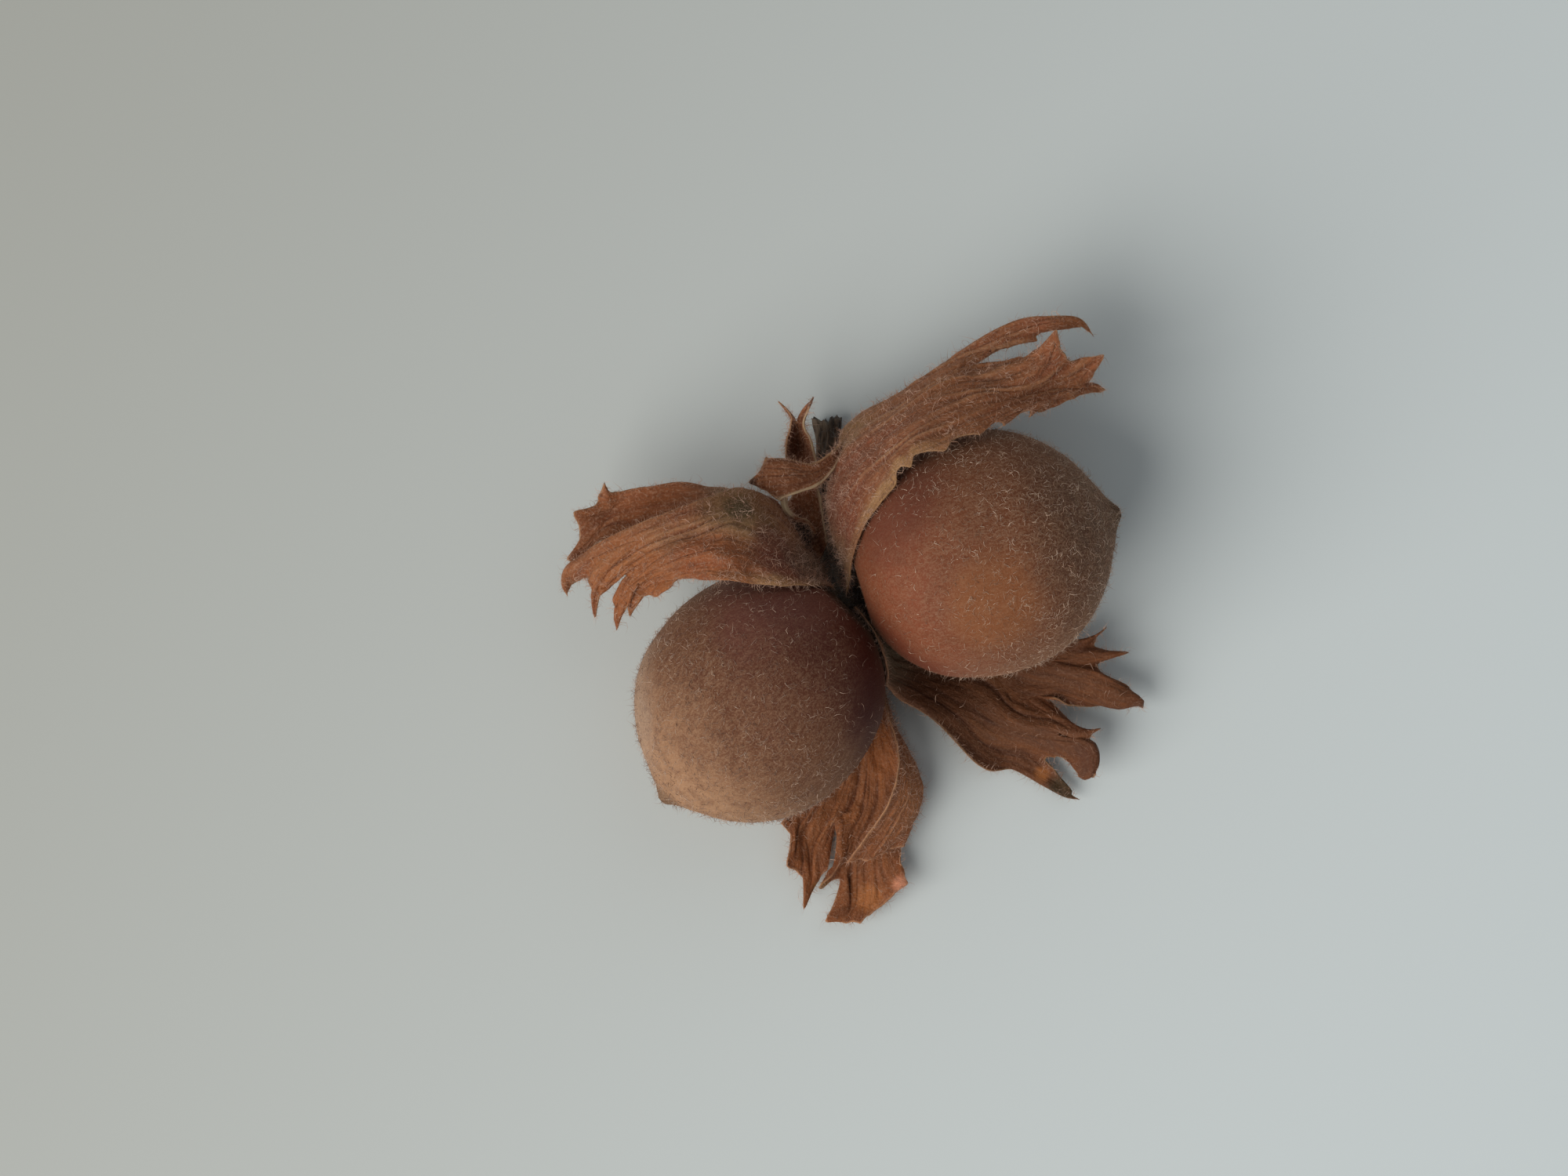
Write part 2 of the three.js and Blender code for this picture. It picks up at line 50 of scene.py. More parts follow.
shell = {
    "length": 19.0, "radius": 9.1, "height": 8.95,
    "drop": 0.18,                             # the finished shell sinks a little, onto its flat
    "outline": [
        [0.0, 0.3], [0.03, 0.46], [0.1, 0.68], [0.22, 0.88], [0.38, 0.985], [0.52, 1.0],
        [0.67, 0.94], [0.8, 0.77], [0.9, 0.53], [0.955, 0.3], [0.978, 0.16], [1.0, 0.06],
    ],
    "sides": 168, "rings": 116, "reachSteps": 240,
    "dent": 0.1, "dentSize": 6.0,             # slow unevenness of the shell, mm
    "dentSink": 0.6,
    "rib": 0.022, "ribCount": 26, "ribSize": 4.0,  # faint lengthwise ribs, mm
    "beakFrom": 0.92, "beakLength": 0.5,      # where the small point starts, and its reach in mm
    "beakSharp": 0.3, "beakEnd": 0.08,
    "grainLeast": 1.5,                        # the grain runs as if a shell were never thinner
}
# slim and tall are shares of the plain shell's radius, level and upright
nuts = {
    "right": {"middle": [9.8, 4.9], "turn": 17, "dip": 0, "seed": 3, "move": (-0.12, 0.08),
              "slim": 0.972, "tall": 0.976, "baseReach": 1.0},
    "left": {"middle": [-6.8, -5.9], "turn": 227, "dip": 6, "seed": 11, "move": (-0.25, 0.15),
             "slim": 0.945, "tall": 0.97, "baseReach": 0.98},
}

leafWork = {
    "bodyShare": 0.6,                         # the part of a vein that its three rails lead
    "lobesPart": (0.6, 0.85),
    "pleatsRise": (0.2, 0.7), "pleatsFade": (0.85, 1.0),
    "swell": (0.06, 0.3),
    "nutGap": 0.55, "nutGapLeast": 0.3,       # middle of a leaf to the shell, mm
    "tableGap": 0.16, "lowest": 0.02,
    "waver": 0.6, "ridgeSharp": 4, "ridgeLevel": 0.27, "fineShare": 0.6,
    "strength": (0.7, 1.3),
    "sheetBlur": 1, "normalBlur": (6, 2), "faceBlur": 2,
    "nextBlade": 40,                          # step in seed from a leaf's blade to its next
}
# unevenness of a leaf: size across a ridge, size along a mm, layer, step in seed, octaves
leafNoise = {
    "waver": (0.5, 0.14, 0, 0, 2), "fine": (3.4, 0.09, 5, 5, 2), "strength": (0.9, 0.12, 7, 6, 1),
    "wrinkle": (0.4, 0.2, 9, 9, 3), "pucker": (1.9, 1.3, 2, 13, 2), "curl": (0.6, 0.22, 4, 21, 1),
}
teeth = {
    "count": 200, "gap": (0.55, 1.5), "depth": (0.15, 1.0), "rise": 0.8, "fall": 0.2,
    "bow": 1.6, "fade": 0.05, "endPhase": 3.7, "endFrom": 0.6,
}


def colour(red, green, blue):
    # screen values 0 to 255, turned into Blender's linear colour
    out = []
    for value in (red, green, blue):
        part = value / 255
        out.append(part / 12.92 if part <= 0.04045 else ((part + 0.055) / 1.055) ** 2.4)
    return (*out, 1.0)


def smooth(value, start, end):
    share = np.clip((value - start) / (end - start), 0, 1)
    return share * share * (3 - 2 * share)


def unit(vectors):
    return vectors / np.maximum(np.linalg.norm(vectors, axis=-1, keepdims=True), 1e-12)


def centripetal(points, t):
    # a curve through points, whose speed follows the root of the gaps between them
    points = np.asarray(points, float)
    last = len(points) - 1
    padded = np.vstack([2 * points[0] - points[1], points, 2 * points[-1] - points[-2]])
    place = np.clip(t, 0, 1) * last
    index = np.minimum(np.floor(place).astype(int), last - 1)
    share = (place - index)[..., None]
    before, near, far, after = (padded[index + step] for step in range(4))
    stepA = np.sqrt(np.linalg.norm(near - before, axis=-1, keepdims=True))
    stepB = np.sqrt(np.linalg.norm(far - near, axis=-1, keepdims=True))
    stepC = np.sqrt(np.linalg.norm(after - far, axis=-1, keepdims=True))
    leave = (near - before) / stepA - (far - before) / (stepA + stepB) + (far - near) / stepB
    arrive = (far - near) / stepB - (after - near) / (stepB + stepC) + (after - far) / stepC
    leave, arrive = leave * stepB, arrive * stepB
    square = -3 * near + 3 * far - 2 * leave - arrive
    cube = 2 * near - 2 * far + leave + arrive
    return near + leave * share + square * share ** 2 + cube * share ** 3


def catmullRom(before, near, far, after, share):
    square, cube = share ** 2, share ** 3
    return (before * (-0.5 * cube + square - 0.5 * share)
            + near * (1.5 * cube - 2.5 * square + 1)
            + far * (-1.5 * cube + 2 * square + 0.5 * share)
            + after * (0.5 * cube - 0.5 * square))


def noiseOf(places, seed, octaves=2):
    offset = Vector((seed * 7.31, seed * 3.77, seed * 1.93))
    values = [noise.fractal(Vector(place) + offset, 1.0, 2.0, octaves)
              for place in places.reshape(-1, 3)]
    return np.array(values).reshape(places.shape[:-1])


def outlineCurve(steps):
    # radius and place along a nut, from its base to its tip
    points = np.array([[wide * shell["radius"], along * shell["length"]]
                       for along, wide in shell["outline"]])
    padded = np.vstack([points[0], points, points[-1]])
    place = np.linspace(0, len(points) - 1, steps + 1)
    index = np.minimum(np.floor(place).astype(int), len(points) - 2)
    share = (place - index)[:, None]
    return catmullRom(*(padded[index + step] for step in range(4)), share)


reachLine = outlineCurve(shell["reachSteps"])
reachAlong = reachLine[:, 1] - shell["length"] / 2
reachAngle = np.arctan2(reachLine[:, 0], reachAlong)
reachSize = np.hypot(reachLine[:, 0], reachAlong)


def nutAxis(nut):
    heading, fall = math.radians(nut["turn"]), math.radians(nut["dip"])
    return np.array([math.cos(heading) * math.cos(fall), math.sin(heading) * math.cos(fall),
                     -math.sin(fall)])


def nutMiddle(nut):
    return np.array([*nut["middle"], shell["height"]])


def clearOfNuts(points, gap):
    # moves points straight out of either nut, until they stand the gap off its shell
    for nut in nuts.values():
        middle = nutMiddle(nut) + [*nut["move"], 0]
        out = points - middle
        size = np.linalg.norm(out, axis=-1)
        angle = np.arccos(np.clip(out @ nutAxis(nut) / np.maximum(size, tiny), -1, 1))
        reach = np.interp(angle, reachAngle[::-1], reachSize[::-1]) * nut["slim"] + gap
        inside = size < reach
        points[inside] = middle + out[inside] * (reach / np.maximum(size, tiny))[inside, None]
    return points


def meshObject(name, verts, faces, attributes=(), smoothFaces=True):
    mesh = bpy.data.meshes.new(name)
    mesh.from_pydata([tuple(vert) for vert in verts], [], faces)
    for label, values in attributes:
        values = np.asarray(values, np.float32)
        kind, key = ("FLOAT_VECTOR", "vector") if values.ndim == 2 else ("FLOAT", "value")
        layer = mesh.attributes.new(label, kind, "POINT")
        layer.data.foreach_set(key, values.ravel())
    mesh.polygons.foreach_set("use_smooth", [smoothFaces] * len(mesh.polygons))
    mesh.validate()
    mesh.update()
    piece = bpy.data.objects.new(name, mesh)
    bpy.context.scene.collection.objects.link(piece)
    return piece


def joinFrame(piece, material, nodeName):
    piece.data.materials.append(material)
    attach(piece, "root")
    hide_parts(nodeName)
    print("piece", piece.name, len(piece.data.polygons), "faces")


def veinCurves(leaf):
    # over a leaf's body its veins are spread between three rails, and then run on by themselves
    first, middle, last = (np.array(rail, float) for rail in leaf["rails"])
    control = 2 * middle - 0.5 * first - 0.5 * last
    curves = []
    for share, *tail in leaf["veins"]:
        body = (1 - share) ** 2 * first + 2 * share * (1 - share) * control + share ** 2 * last
        points = np.vstack([body, np.array(tail, float)]) if tail else body
        curves.append((points, (len(first) - 1) / (len(points) - 1)))
    return curves


def veinPoint(curve, along):
    points, bodyEnd = curve
    if bodyEnd >= 1:
        return centripetal(points, along)
    split = leafWork["bodyShare"]
    t = np.where(along < split, along / split * bodyEnd,
                 bodyEnd + (along - split) / (1 - split) * (1 - bodyEnd))
    return centripetal(points, t)


def sheetNormals(sheet):
    across = np.gradient(sheet, axis=1)
    along = np.gradient(sheet, axis=0)
    return unit(np.cross(across, along))


def blur(values, times):
    for _ in range(times):
        for axis in (0, 1):
            ahead = np.roll(values, -1, axis)
            behind = np.roll(values, 1, axis)
            edge = [slice(None)] * values.ndim
            edge[axis] = -1
            ahead[tuple(edge)] = values[tuple(edge)]
            edge[axis] = 0
            behind[tuple(edge)] = values[tuple(edge)]
            values = (values * 2 + ahead + behind) / 4
    return values


def toothWave(place, seed):
    # teeth that lean towards the tip: a slow rise out and a quick step back, all different
    rng = np.random.default_rng(seed)
    ends = np.cumsum(rng.uniform(*teeth["gap"], teeth["count"]))
    depth = rng.uniform(*teeth["depth"], teeth["count"] + 1)
    index = np.searchsorted(ends, place)
    begin = np.where(index > 0, ends[np.maximum(index - 1, 0)], 0)
    share = (place - begin) / (ends[np.minimum(index, teeth["count"] - 1)] - begin)
    rise = np.where(share < teeth["rise"], (share / teeth["rise"]) ** teeth["bow"],
                    1 - (share - teeth["rise"]) / teeth["fall"])
    return depth[index] * (1 - rise)


def acrossVeins(stack, shares, index, local):
    # a smooth run and a straight run across veins that stand unevenly
    last = len(shares) - 1

    def at(chosen):
        return np.take_along_axis(stack, chosen[None, ..., None], axis=0)[0]

    def slope(chosen):
        low, high = np.maximum(chosen - 1, 0), np.minimum(chosen + 1, last)
        before = (shares[chosen] - shares[low])[..., None]
        after = (shares[high] - shares[chosen])[..., None]
        here = at(chosen)
        lift = np.where(before > 0, (here - at(low)) / np.maximum(before, tiny), 0)
        drop = np.where(after > 0, (at(high) - here) / np.maximum(after, tiny), 0)
        lift = np.where(before > 0, lift, drop)
        drop = np.where(after > 0, drop, lift)
        left, right = np.where(before > 0, before, 1.0), np.where(after > 0, after, 1.0)
        return (lift * right + drop * left) / (left + right)

    ahead = np.minimum(index + 1, last)
    near, far = at(index), at(ahead)
    gap = (shares[ahead] - shares[index])[..., None]
    t = local[..., None]
    curved = ((2 * t ** 3 - 3 * t ** 2 + 1) * near + (t ** 3 - 2 * t ** 2 + t) * gap * slope(index)
              + (3 * t ** 2 - 2 * t ** 3) * far + (t ** 3 - t ** 2) * gap * slope(ahead))
    return curved, near + (far - near) * t


def uneven(kind, lane, run, seed):
    across, along, layer, step, octaves = leafNoise[kind]
    place = np.stack([lane * across, run * along, lane * 0 + layer], -1)
    return noiseOf(place, seed + step, octaves)


def toothedGrid(look, gaps, length, seed):
    # where each point stands: across in veins, along from foot to tip, with every tooth cut
    columns = gaps * look["columnsPerVein"]
    across, along = np.meshgrid(np.linspace(0, gaps, columns + 1),
                                np.linspace(0, 1, look["rows"] + 1))
    fade = teeth["fade"]
    for side, place in (("first", across), ("last", gaps - across)):
        start, end = look[side + "Teeth"]
        where = smooth(along, start - fade, start + fade) * (1 - smooth(along, end - fade, end + fade))
        wave = toothWave(along * length / look["toothSpan"], seed + (side == "last"))
        push = look["sideTooth"] * wave * where * np.clip(1 - place / look["toothReach"], 0, 1)
        across = across + push if side == "first" else across - push
    index = np.minimum(np.floor(across).astype(int), gaps - 1)
    local = across - index
    endWave = toothWave(across / look["endSpan"] + teeth["endPhase"], seed + 2)
    hollow = look["hollow"] * 4 * local * (1 - local)
    cut = (hollow + look["endTooth"] * endWave) * smooth(along, teeth["endFrom"], 1)
    return index, local, along * (1 - cut)


def runOf(sheet, axis):
    # distance in mm from the first row or column
    size = np.linalg.norm(np.diff(sheet, axis=axis), axis=-1)
    start = np.zeros_like(np.take(size, [0], axis))
    return np.concatenate([start, np.cumsum(size, axis=axis)], axis=axis)


def leafHeight(look, lane, run, along, seed):
    # ridges along the leaf, finer ones between, and slow wrinkles
    place = lane + leafWork["waver"] * uneven("waver", lane, run, seed)
    ridge = (0.5 + 0.5 * np.cos(2 * np.pi * place)) ** leafWork["ridgeSharp"]
    least, spread = leafWork["strength"]
    strength = least + spread * uneven("strength", lane, run, seed)
    relief = ((ridge - leafWork["ridgeLevel"]) * strength
              + uneven("fine", place, run, seed) * leafWork["fineShare"])
    swell = smooth(along, *leafWork["swell"])
    rise = smooth(along, *leafWork["pleatsRise"])
    rise = rise * (1 - 0.5 * smooth(along, *leafWork["pleatsFade"]))
    height = (look["pleat"] * relief * rise
              + look["wrinkle"] * uneven("wrinkle", lane, run, seed) * swell
              + look["pucker"] * uneven("pucker", lane, run, seed) * swell)
    return height, relief, swell


def settle(sheet, gap):
    clearOfNuts(sheet, gap)
    sheet[..., 2] = np.maximum(sheet[..., 2], leafWork["tableGap"])
    return sheet


def bladeSheet(leaf, seed):
    look = {**leafLook, **leaf.get("look", {})}
    curves = veinCurves(leaf)
    shares = np.array([vein[0] for vein in leaf["veins"]], float)
    gaps = len(curves) - 1
    midVein = veinPoint(curves[gaps // 2], np.linspace(0, 1, look["rows"] + 1))
    length = float(np.linalg.norm(np.diff(midVein, axis=0), axis=1).sum())
    index, local, along = toothedGrid(look, gaps, length, seed)

    stack = np.stack([veinPoint(curve, along) for curve in curves])
    curved, straight = acrossVeins(stack, shares, index, local)
    part = smooth(along, *leafWork["lobesPart"])[..., None]
    sheet = settle(curved + (straight - curved) * part, leafWork["nutGap"])
    sheet = blur(sheet, leafWork["sheetBlur"])
    early, late = leafWork["normalBlur"]
    normals = unit(blur(unit(blur(sheetNormals(sheet), early)), late))

    wide = shares[index] + (shares[np.minimum(index + 1, gaps)] - shares[index]) * local
    lane, runMm = wide * look["ridges"], along * length
    height, relief, swell = leafHeight(look, lane, runMm, along, seed)
    run, fromFoot = runOf(sheet, 1), runOf(sheet, 0)
    margin = np.minimum(np.minimum(run, run[:, -1:] - run), fromFoot[-1:] - fromFoot)
    curl = look["curl"] + look["curlSpread"] * uneven("curl", lane, runMm, seed)
    curl = curl * np.exp(-margin / look["curlReach"]) * swell
    sheet = settle(sheet + normals * (height + curl)[..., None], leafWork["nutGapLeast"])

    rim = np.exp(-margin / look["rimReach"])
    thick = look["thickness"] * (1 - rim) + look["rimThickness"] * rim
    facts = {
        "ridge": relief, "along": along, "margin": margin,
        "fibre": np.stack([wide * look["width"], fromFoot, lane * 0 + seed], -1),
        "foot": fromFoot, "first": run, "last": run[:, -1:] - run,
    }
    return sheet, thick, facts, normals


def outwards(sheet, normals):
    # whether the normals look away from the nearest nut
    out = [sheet - nutMiddle(nut) for nut in nuts.values()]
    near = np.linalg.norm(out[0], axis=-1) < np.linalg.norm(out[1], axis=-1)
    away = np.where(near[..., None], out[0], out[1])
    return float(np.sum(away * normals)) > 0


def bladeSolid(leaf, seed):
    # two faces of one sheet and a wall round its edge
    sheet, thick, facts, broad = bladeSheet(leaf, seed)
    rows, columns = sheet.shape[:2]
    count = rows * columns
    half = unit(blur(sheetNormals(sheet), leafWork["faceBlur"])) * (thick / 2)[..., None]
    verts = np.vstack([(sheet + half).reshape(-1, 3), (sheet - half).reshape(-1, 3)])
    verts[:, 2] = np.maximum(verts[:, 2], leafWork["lowest"])
    at = np.arange(count).reshape(rows, columns)
    a, b, c, d = at[:-1, :-1], at[:-1, 1:], at[1:, 1:], at[1:, :-1]
    over = np.stack([a, b, c, d], -1).reshape(-1, 4)
    under = np.stack([a, d, c, b], -1).reshape(-1, 4) + count
    edge = np.concatenate([at[0, :-1], at[:-1, -1], at[-1, :0:-1], at[:0:-1, 0]])
    after = np.roll(edge, -1)
    wall = np.stack([edge, edge + count, after + count, after], -1)
    double = {label: np.concatenate([value.reshape(-1, *value.shape[2:])] * 2)
              for label, value in facts.items()}
    sides = (0, 1) if outwards(sheet, broad) else (1, 0)
    double["inner"] = np.repeat(sides, count)
    double["ridge"] = double["ridge"] * np.where(double["inner"] == sides[0], 1, -1)
    return verts, np.vstack([over, under, wall]), double


def buildLeaf(name, nodeName, slotName, blades, material, seed):
    allVerts, allFaces, allFacts, start = [], [], [], 0
    for step, leaf in enumerate(blades):
        verts, faces, facts = bladeSolid(leaf, seed + leafWork["nextBlade"] * step)
        allVerts.append((verts + clusterShift) * mm)
        allFaces.extend((faces + start).tolist())
        allFacts.append(facts)
        start += len(verts)
    attributes = [(label, np.concatenate([facts[label] for facts in allFacts]))
                  for label in allFacts[0]]
    piece = meshObject(name, np.vstack(allVerts), allFaces, attributes)
    joinFrame(piece, material, nodeName)
    return piece


def shaderTree(name):
    material = bpy.data.materials.new(name)
    material.use_nodes = True
    tree = material.node_tree
    tree.nodes.clear()
    return material, tree


def openSocket(made, name, outputs=False):
    sockets = made.outputs if outputs else made.inputs
    return next(socket for socket in sockets if socket.name == name and socket.enabled)


def node(tree, kind, settings=None, inputs=None):
    made = tree.nodes.new(kind)
    for key, value in (settings or {}).items():
        setattr(made, key, value)
    for key, value in (inputs or {}).items():
        target = made.inputs[key] if isinstance(key, int) else openSocket(made, key)
        if isinstance(value, bpy.types.NodeSocket):
            tree.links.new(value, target)
        else:
            target.default_value = value
    return made


def mixColour(tree, factor, first, second, mode="MIX"):
    made = node(tree, "ShaderNodeMix", {"data_type": "RGBA", "blend_type": mode},
                {"Factor": factor, "A": first, "B": second})
    return openSocket(made, "Result", True)


def maths(tree, operation, *values):
    made = node(tree, "ShaderNodeMath", {"operation": operation}, dict(enumerate(values)))
    return made.outputs[0]


def plus(tree, value, other, times=1.0, middle=0.0):
    # value, raised by so many times what other stands above its middle
    if middle:
        other = maths(tree, "SUBTRACT", other, middle)
    return maths(tree, "ADD", value, maths(tree, "MULTIPLY", other, times))


def rangeOf(tree, value, low, high, toLow=0.0, toHigh=1.0):
    made = node(tree, "ShaderNodeMapRange", {"interpolation_type": "SMOOTHSTEP"},
                {"Value": value, "From Min": low, "From Max": high,
                 "To Min": toLow, "To Max": toHigh})
    return made.outputs["Result"]


def attribute(tree, name, kind="Fac"):
    return node(tree, "ShaderNodeAttribute", {"attribute_name": name}).outputs[kind]


def objectPlace(tree):
    return node(tree, "ShaderNodeTexCoord").outputs["Object"]


def scaled(tree, vector, scale):
    made = node(tree, "ShaderNodeMapping", {}, {"Vector": vector, "Scale": scale})
    return made.outputs["Vector"]


def noiseTex(tree, vector, scale, detail=3.0, rough=0.55, distortion=0.0):
    made = node(tree, "ShaderNodeTexNoise", {},
                {"Vector": vector, "Scale": scale, "Detail": detail, "Roughness": rough,
                 "Distortion": distortion})
    return made.outputs["Fac"]


def bumped(tree, height, strength, distance, base=None):
    inputs = {"Height": height, "Strength": strength, "Distance": distance * mm}
    if base is not None:
        inputs["Normal"] = base
    return node(tree, "ShaderNodeBump", {}, inputs).outputs["Normal"]


def finishShader(tree, baseColour, roughness, normal=None, constants=None):
    inputs = {"Base Color": baseColour, "Roughness": roughness, **(constants or {})}
    if normal is not None:
        inputs["Normal"] = normal
    shader = node(tree, "ShaderNodeBsdfPrincipled", {}, inputs)
    node(tree, "ShaderNodeOutputMaterial", {}, {"Surface": shader.outputs["BSDF"]})


def spotted(tree, place, base, spots, patch):
    # stains, and some patches of painted shade and painted highlight: each is a place in mm, a reach, a
    # tone and how strongly it covers
    for at, reach, tone, share in spots:
        away = node(tree, "ShaderNodeVectorMath", {"operation": "DISTANCE"},
                    {0: place, 1: [value * mm for value in at]}).outputs["Value"]
        away = plus(tree, away, patch, reach * mm, 0.5)
        cover = rangeOf(tree, away, reach * 0.45 * mm, reach * mm, share, 0.0)
        base = mixColour(tree, cover, base, tone)
    return base


huskTints = {
    "valley": colour(124, 70, 44), "crest": colour(158, 102, 66), "red": colour(130, 64, 42),
    "patch": colour(148, 104, 62), "patchShare": 0.3,
    "line": colour(182, 136, 98), "crestLine": 0.5,
    "rim": colour(186, 148, 108), "rimWide": 0.24, "rimShare": 0.5,
    "band": colour(180, 138, 92), "bandSide": "last", "bandWide": 0.9, "bandTo": 0.62,
    "bandShare": 0.7,
    "innerValley": colour(96, 50, 28), "innerCrest": colour(148, 92, 56),
    "innerPatch": colour(116, 66, 38),
    "foot": colour(104, 90, 70), "footFrom": 4.0, "footTo": 10.0, "footShare": 0.7,
    "tip": colour(150, 86, 48), "tipShare": 0.6,
    "fuzz": 0.38, "fuzzColour": colour(188, 148, 120), "sheen": 0.3, "spots": [],
}
huskGrain = {
    # streak and fine are counts a mm, across the veins and along them; patch and speck a metre
    "streak": (2.6, 0.22, 1.0), "fine": (9.0, 0.9, 1.0), "patch": 210, "speck": 5200,
    "streakBump": (0.45, 0.2), "speckBump": (0.7, 0.12), "rough": (0.6, 0.85),
}


def huskMaterial(name, tint):
    look = {**huskTints, **tint}
    material, tree = shaderTree(name)
    place = objectPlace(tree)
    # fibre is in millimetres: across the veins, along them, and a leaf's own number
    fibre = attribute(tree, "fibre", "Vector")
    ridge, along, foot, margin, inner, side = (
        attribute(tree, label)
        for label in ("ridge", "along", "foot", "margin", "inner", look["bandSide"]))
    streak = noiseTex(tree, scaled(tree, fibre, huskGrain["streak"]), 1.0, 4.0, 0.6, 0.3)
    fineStreak = noiseTex(tree, scaled(tree, fibre, huskGrain["fine"]), 1.0, 3.0, 0.6)
    patch = noiseTex(tree, place, huskGrain["patch"])
    speck = noiseTex(tree, place, huskGrain["speck"], 2.0, 0.6)

    # outer face: reddish between the ridges, tan on them
    height = plus(tree, ridge, streak, 1.4, 0.5)
    outer = mixColour(tree, rangeOf(tree, height, -1.0, 1.0), look["valley"], look["crest"])
    patchy = rangeOf(tree, patch, 0.42, 0.7, 0.0, look["patchShare"])
    outer = mixColour(tree, patchy, outer, look["patch"])
    outer = mixColour(tree, rangeOf(tree, patch, 0.5, 0.25, 0.0, 0.5), outer, look["red"])
    # pale lines on the vein crests: partly the veins' own tan, partly painted highlight where their fuzz
    # catches the light
    crestLine = rangeOf(tree, ridge, 0.2, 0.75, 0.0, look["crestLine"])
    outer = mixColour(tree, crestLine, outer, look["line"])
    # inner face: darker, with pale lines along the veins
    innerHeight = rangeOf(tree, height, -1.0, 1.1)
    innerSide = mixColour(tree, innerHeight, look["innerValley"], look["innerCrest"])
    innerPatchy = rangeOf(tree, patch, 0.4, 0.7, 0.0, 0.6)
    innerSide = mixColour(tree, innerPatchy, innerSide, look["innerPatch"])
    base = mixColour(tree, inner, outer, innerSide)
    # the foot's tone (on the right lower husk brightened as painted light), brighter lobes, a pale rim,
    # and a pale band along one margin
    footShare = rangeOf(tree, plus(tree, foot, patch, 6.0), look["footFrom"], look["footTo"],
                        look["footShare"], 0.0)
    base = mixColour(tree, footShare, base, look["foot"])
    tipShare = rangeOf(tree, plus(tree, along, streak, 0.3), 0.85, 1.2, 0.0, look["tipShare"])
    base = mixColour(tree, tipShare, base, look["tip"])
    rim = rangeOf(tree, plus(tree, margin, streak, 0.2), 0.12, look["rimWide"],
                  look["rimShare"], 0.0)
    base = mixColour(tree, rim, base, look["rim"])
    band = rangeOf(tree, plus(tree, side, streak, 0.8), look["bandWide"] * 0.5 + 0.4,
                   look["bandWide"] + 0.6, look["bandShare"], 0.0)
    bandEnd = rangeOf(tree, along, look["bandTo"] - 0.2, look["bandTo"], 1.0, 0.0)
    base = mixColour(tree, maths(tree, "MULTIPLY", band, bandEnd), base, look["band"])
    base = spotted(tree, place, base, look["spots"], patch)
    # fine grain of dried tissue, and the fuzz on it
    grain = rangeOf(tree, fineStreak, 0.3, 0.72, 0.78, 1.1)
    grey = node(tree, "ShaderNodeCombineColor", {}, {"Red": grain, "Green": grain, "Blue": grain})
    base = mixColour(tree, 1.0, base, grey.outputs["Color"], "MULTIPLY")
    fuzz = rangeOf(tree, speck, 0.46, 0.72, 0.0, look["fuzz"])
    base = mixColour(tree, fuzz, base, look["fuzzColour"])

    relief = plus(tree, maths(tree, "MULTIPLY", fineStreak, 0.6), streak, 0.6)
    normal = bumped(tree, relief, *huskGrain["streakBump"])
    normal = bumped(tree, speck, *huskGrain["speckBump"], normal)
    rough = rangeOf(tree, streak, 0.3, 0.7, *huskGrain["rough"])
    finishShader(tree, base, rough, normal, {
        "Sheen Weight": look["sheen"], "Sheen Roughness": 0.4,
        "Sheen Tint": look["fuzzColour"], "Specular IOR Level": 0.3,
    })
    return material


shellGrain = {
    # streak and flow run from base to tip, in counts a mm; the next three are counts a metre
    "streak": (9.0, 0.5, 9.0), "flow": (46.0, 1.5, 46.0),
    "cloud": 130, "mottle": 650, "speck": 7600,
    "streakBump": (0.3, 0.15), "tuftBump": (0.7, 0.1), "rough": (0.48, 0.85),
}


def shellMaterial(name, look):
    material, tree = shaderTree(name)
    place = objectPlace(tree)
    along = attribute(tree, "along")
    shellPlace = attribute(tree, "shellPlace", "Vector")
    streak = noiseTex(tree, scaled(tree, shellPlace, shellGrain["streak"]), 1.0, 4.0, 0.6, 0.2)
    flow = noiseTex(tree, scaled(tree, shellPlace, shellGrain["flow"]), 1.0, 3.0, 0.6, 0.6)
    cloud = noiseTex(tree, place, shellGrain["cloud"], 3.0, 0.6)
    mottle = noiseTex(tree, place, shellGrain["mottle"], 3.0, 0.6)
    speck = noiseTex(tree, place, shellGrain["speck"], 3.0, 0.7)

    drift = plus(tree, along, cloud, 0.25, 0.5)
    base = mixColour(tree, rangeOf(tree, drift, 0.08, 0.5), look["base"], look["middle"])
    base = mixColour(tree, rangeOf(tree, drift, 0.5, 0.98), base, look["tip"])
    base = mixColour(tree, rangeOf(tree, streak, 0.35, 0.75, 0.0, 0.5), base, look["streak"])
    base = mixColour(tree, rangeOf(tree, mottle, 0.48, 0.75, 0.0, 0.15), base, look["mottle"])
    base = mixColour(tree, rangeOf(tree, along, 0.955, 0.985, 0.0, 0.8), base, look["beak"])
    # short down, denser towards the tip
    downShare = rangeOf(tree, plus(tree, along, cloud, 0.3), 0.2, 1.0, 0.5, 1.0)
    tufts = plus(tree, maths(tree, "MULTIPLY", speck, 0.6), flow, 0.4)
    down = rangeOf(tree, tufts, 0.42, 0.62, 0.0, look["downShare"])
    base = mixColour(tree, maths(tree, "MULTIPLY", down, downShare), base, look["down"])
    base = spotted(tree, place, base, look["spots"], cloud)

    normal = bumped(tree, streak, *shellGrain["streakBump"])
    normal = bumped(tree, tufts, *shellGrain["tuftBump"], normal)
    rough = rangeOf(tree, downShare, 0.2, 1.0, *shellGrain["rough"])
    finishShader(tree, base, rough, normal, {
        "Sheen Weight": look["sheen"], "Sheen Roughness": 0.35,
        "Sheen Tint": look["down"], "Specular IOR Level": 0.2,
    })
    return material


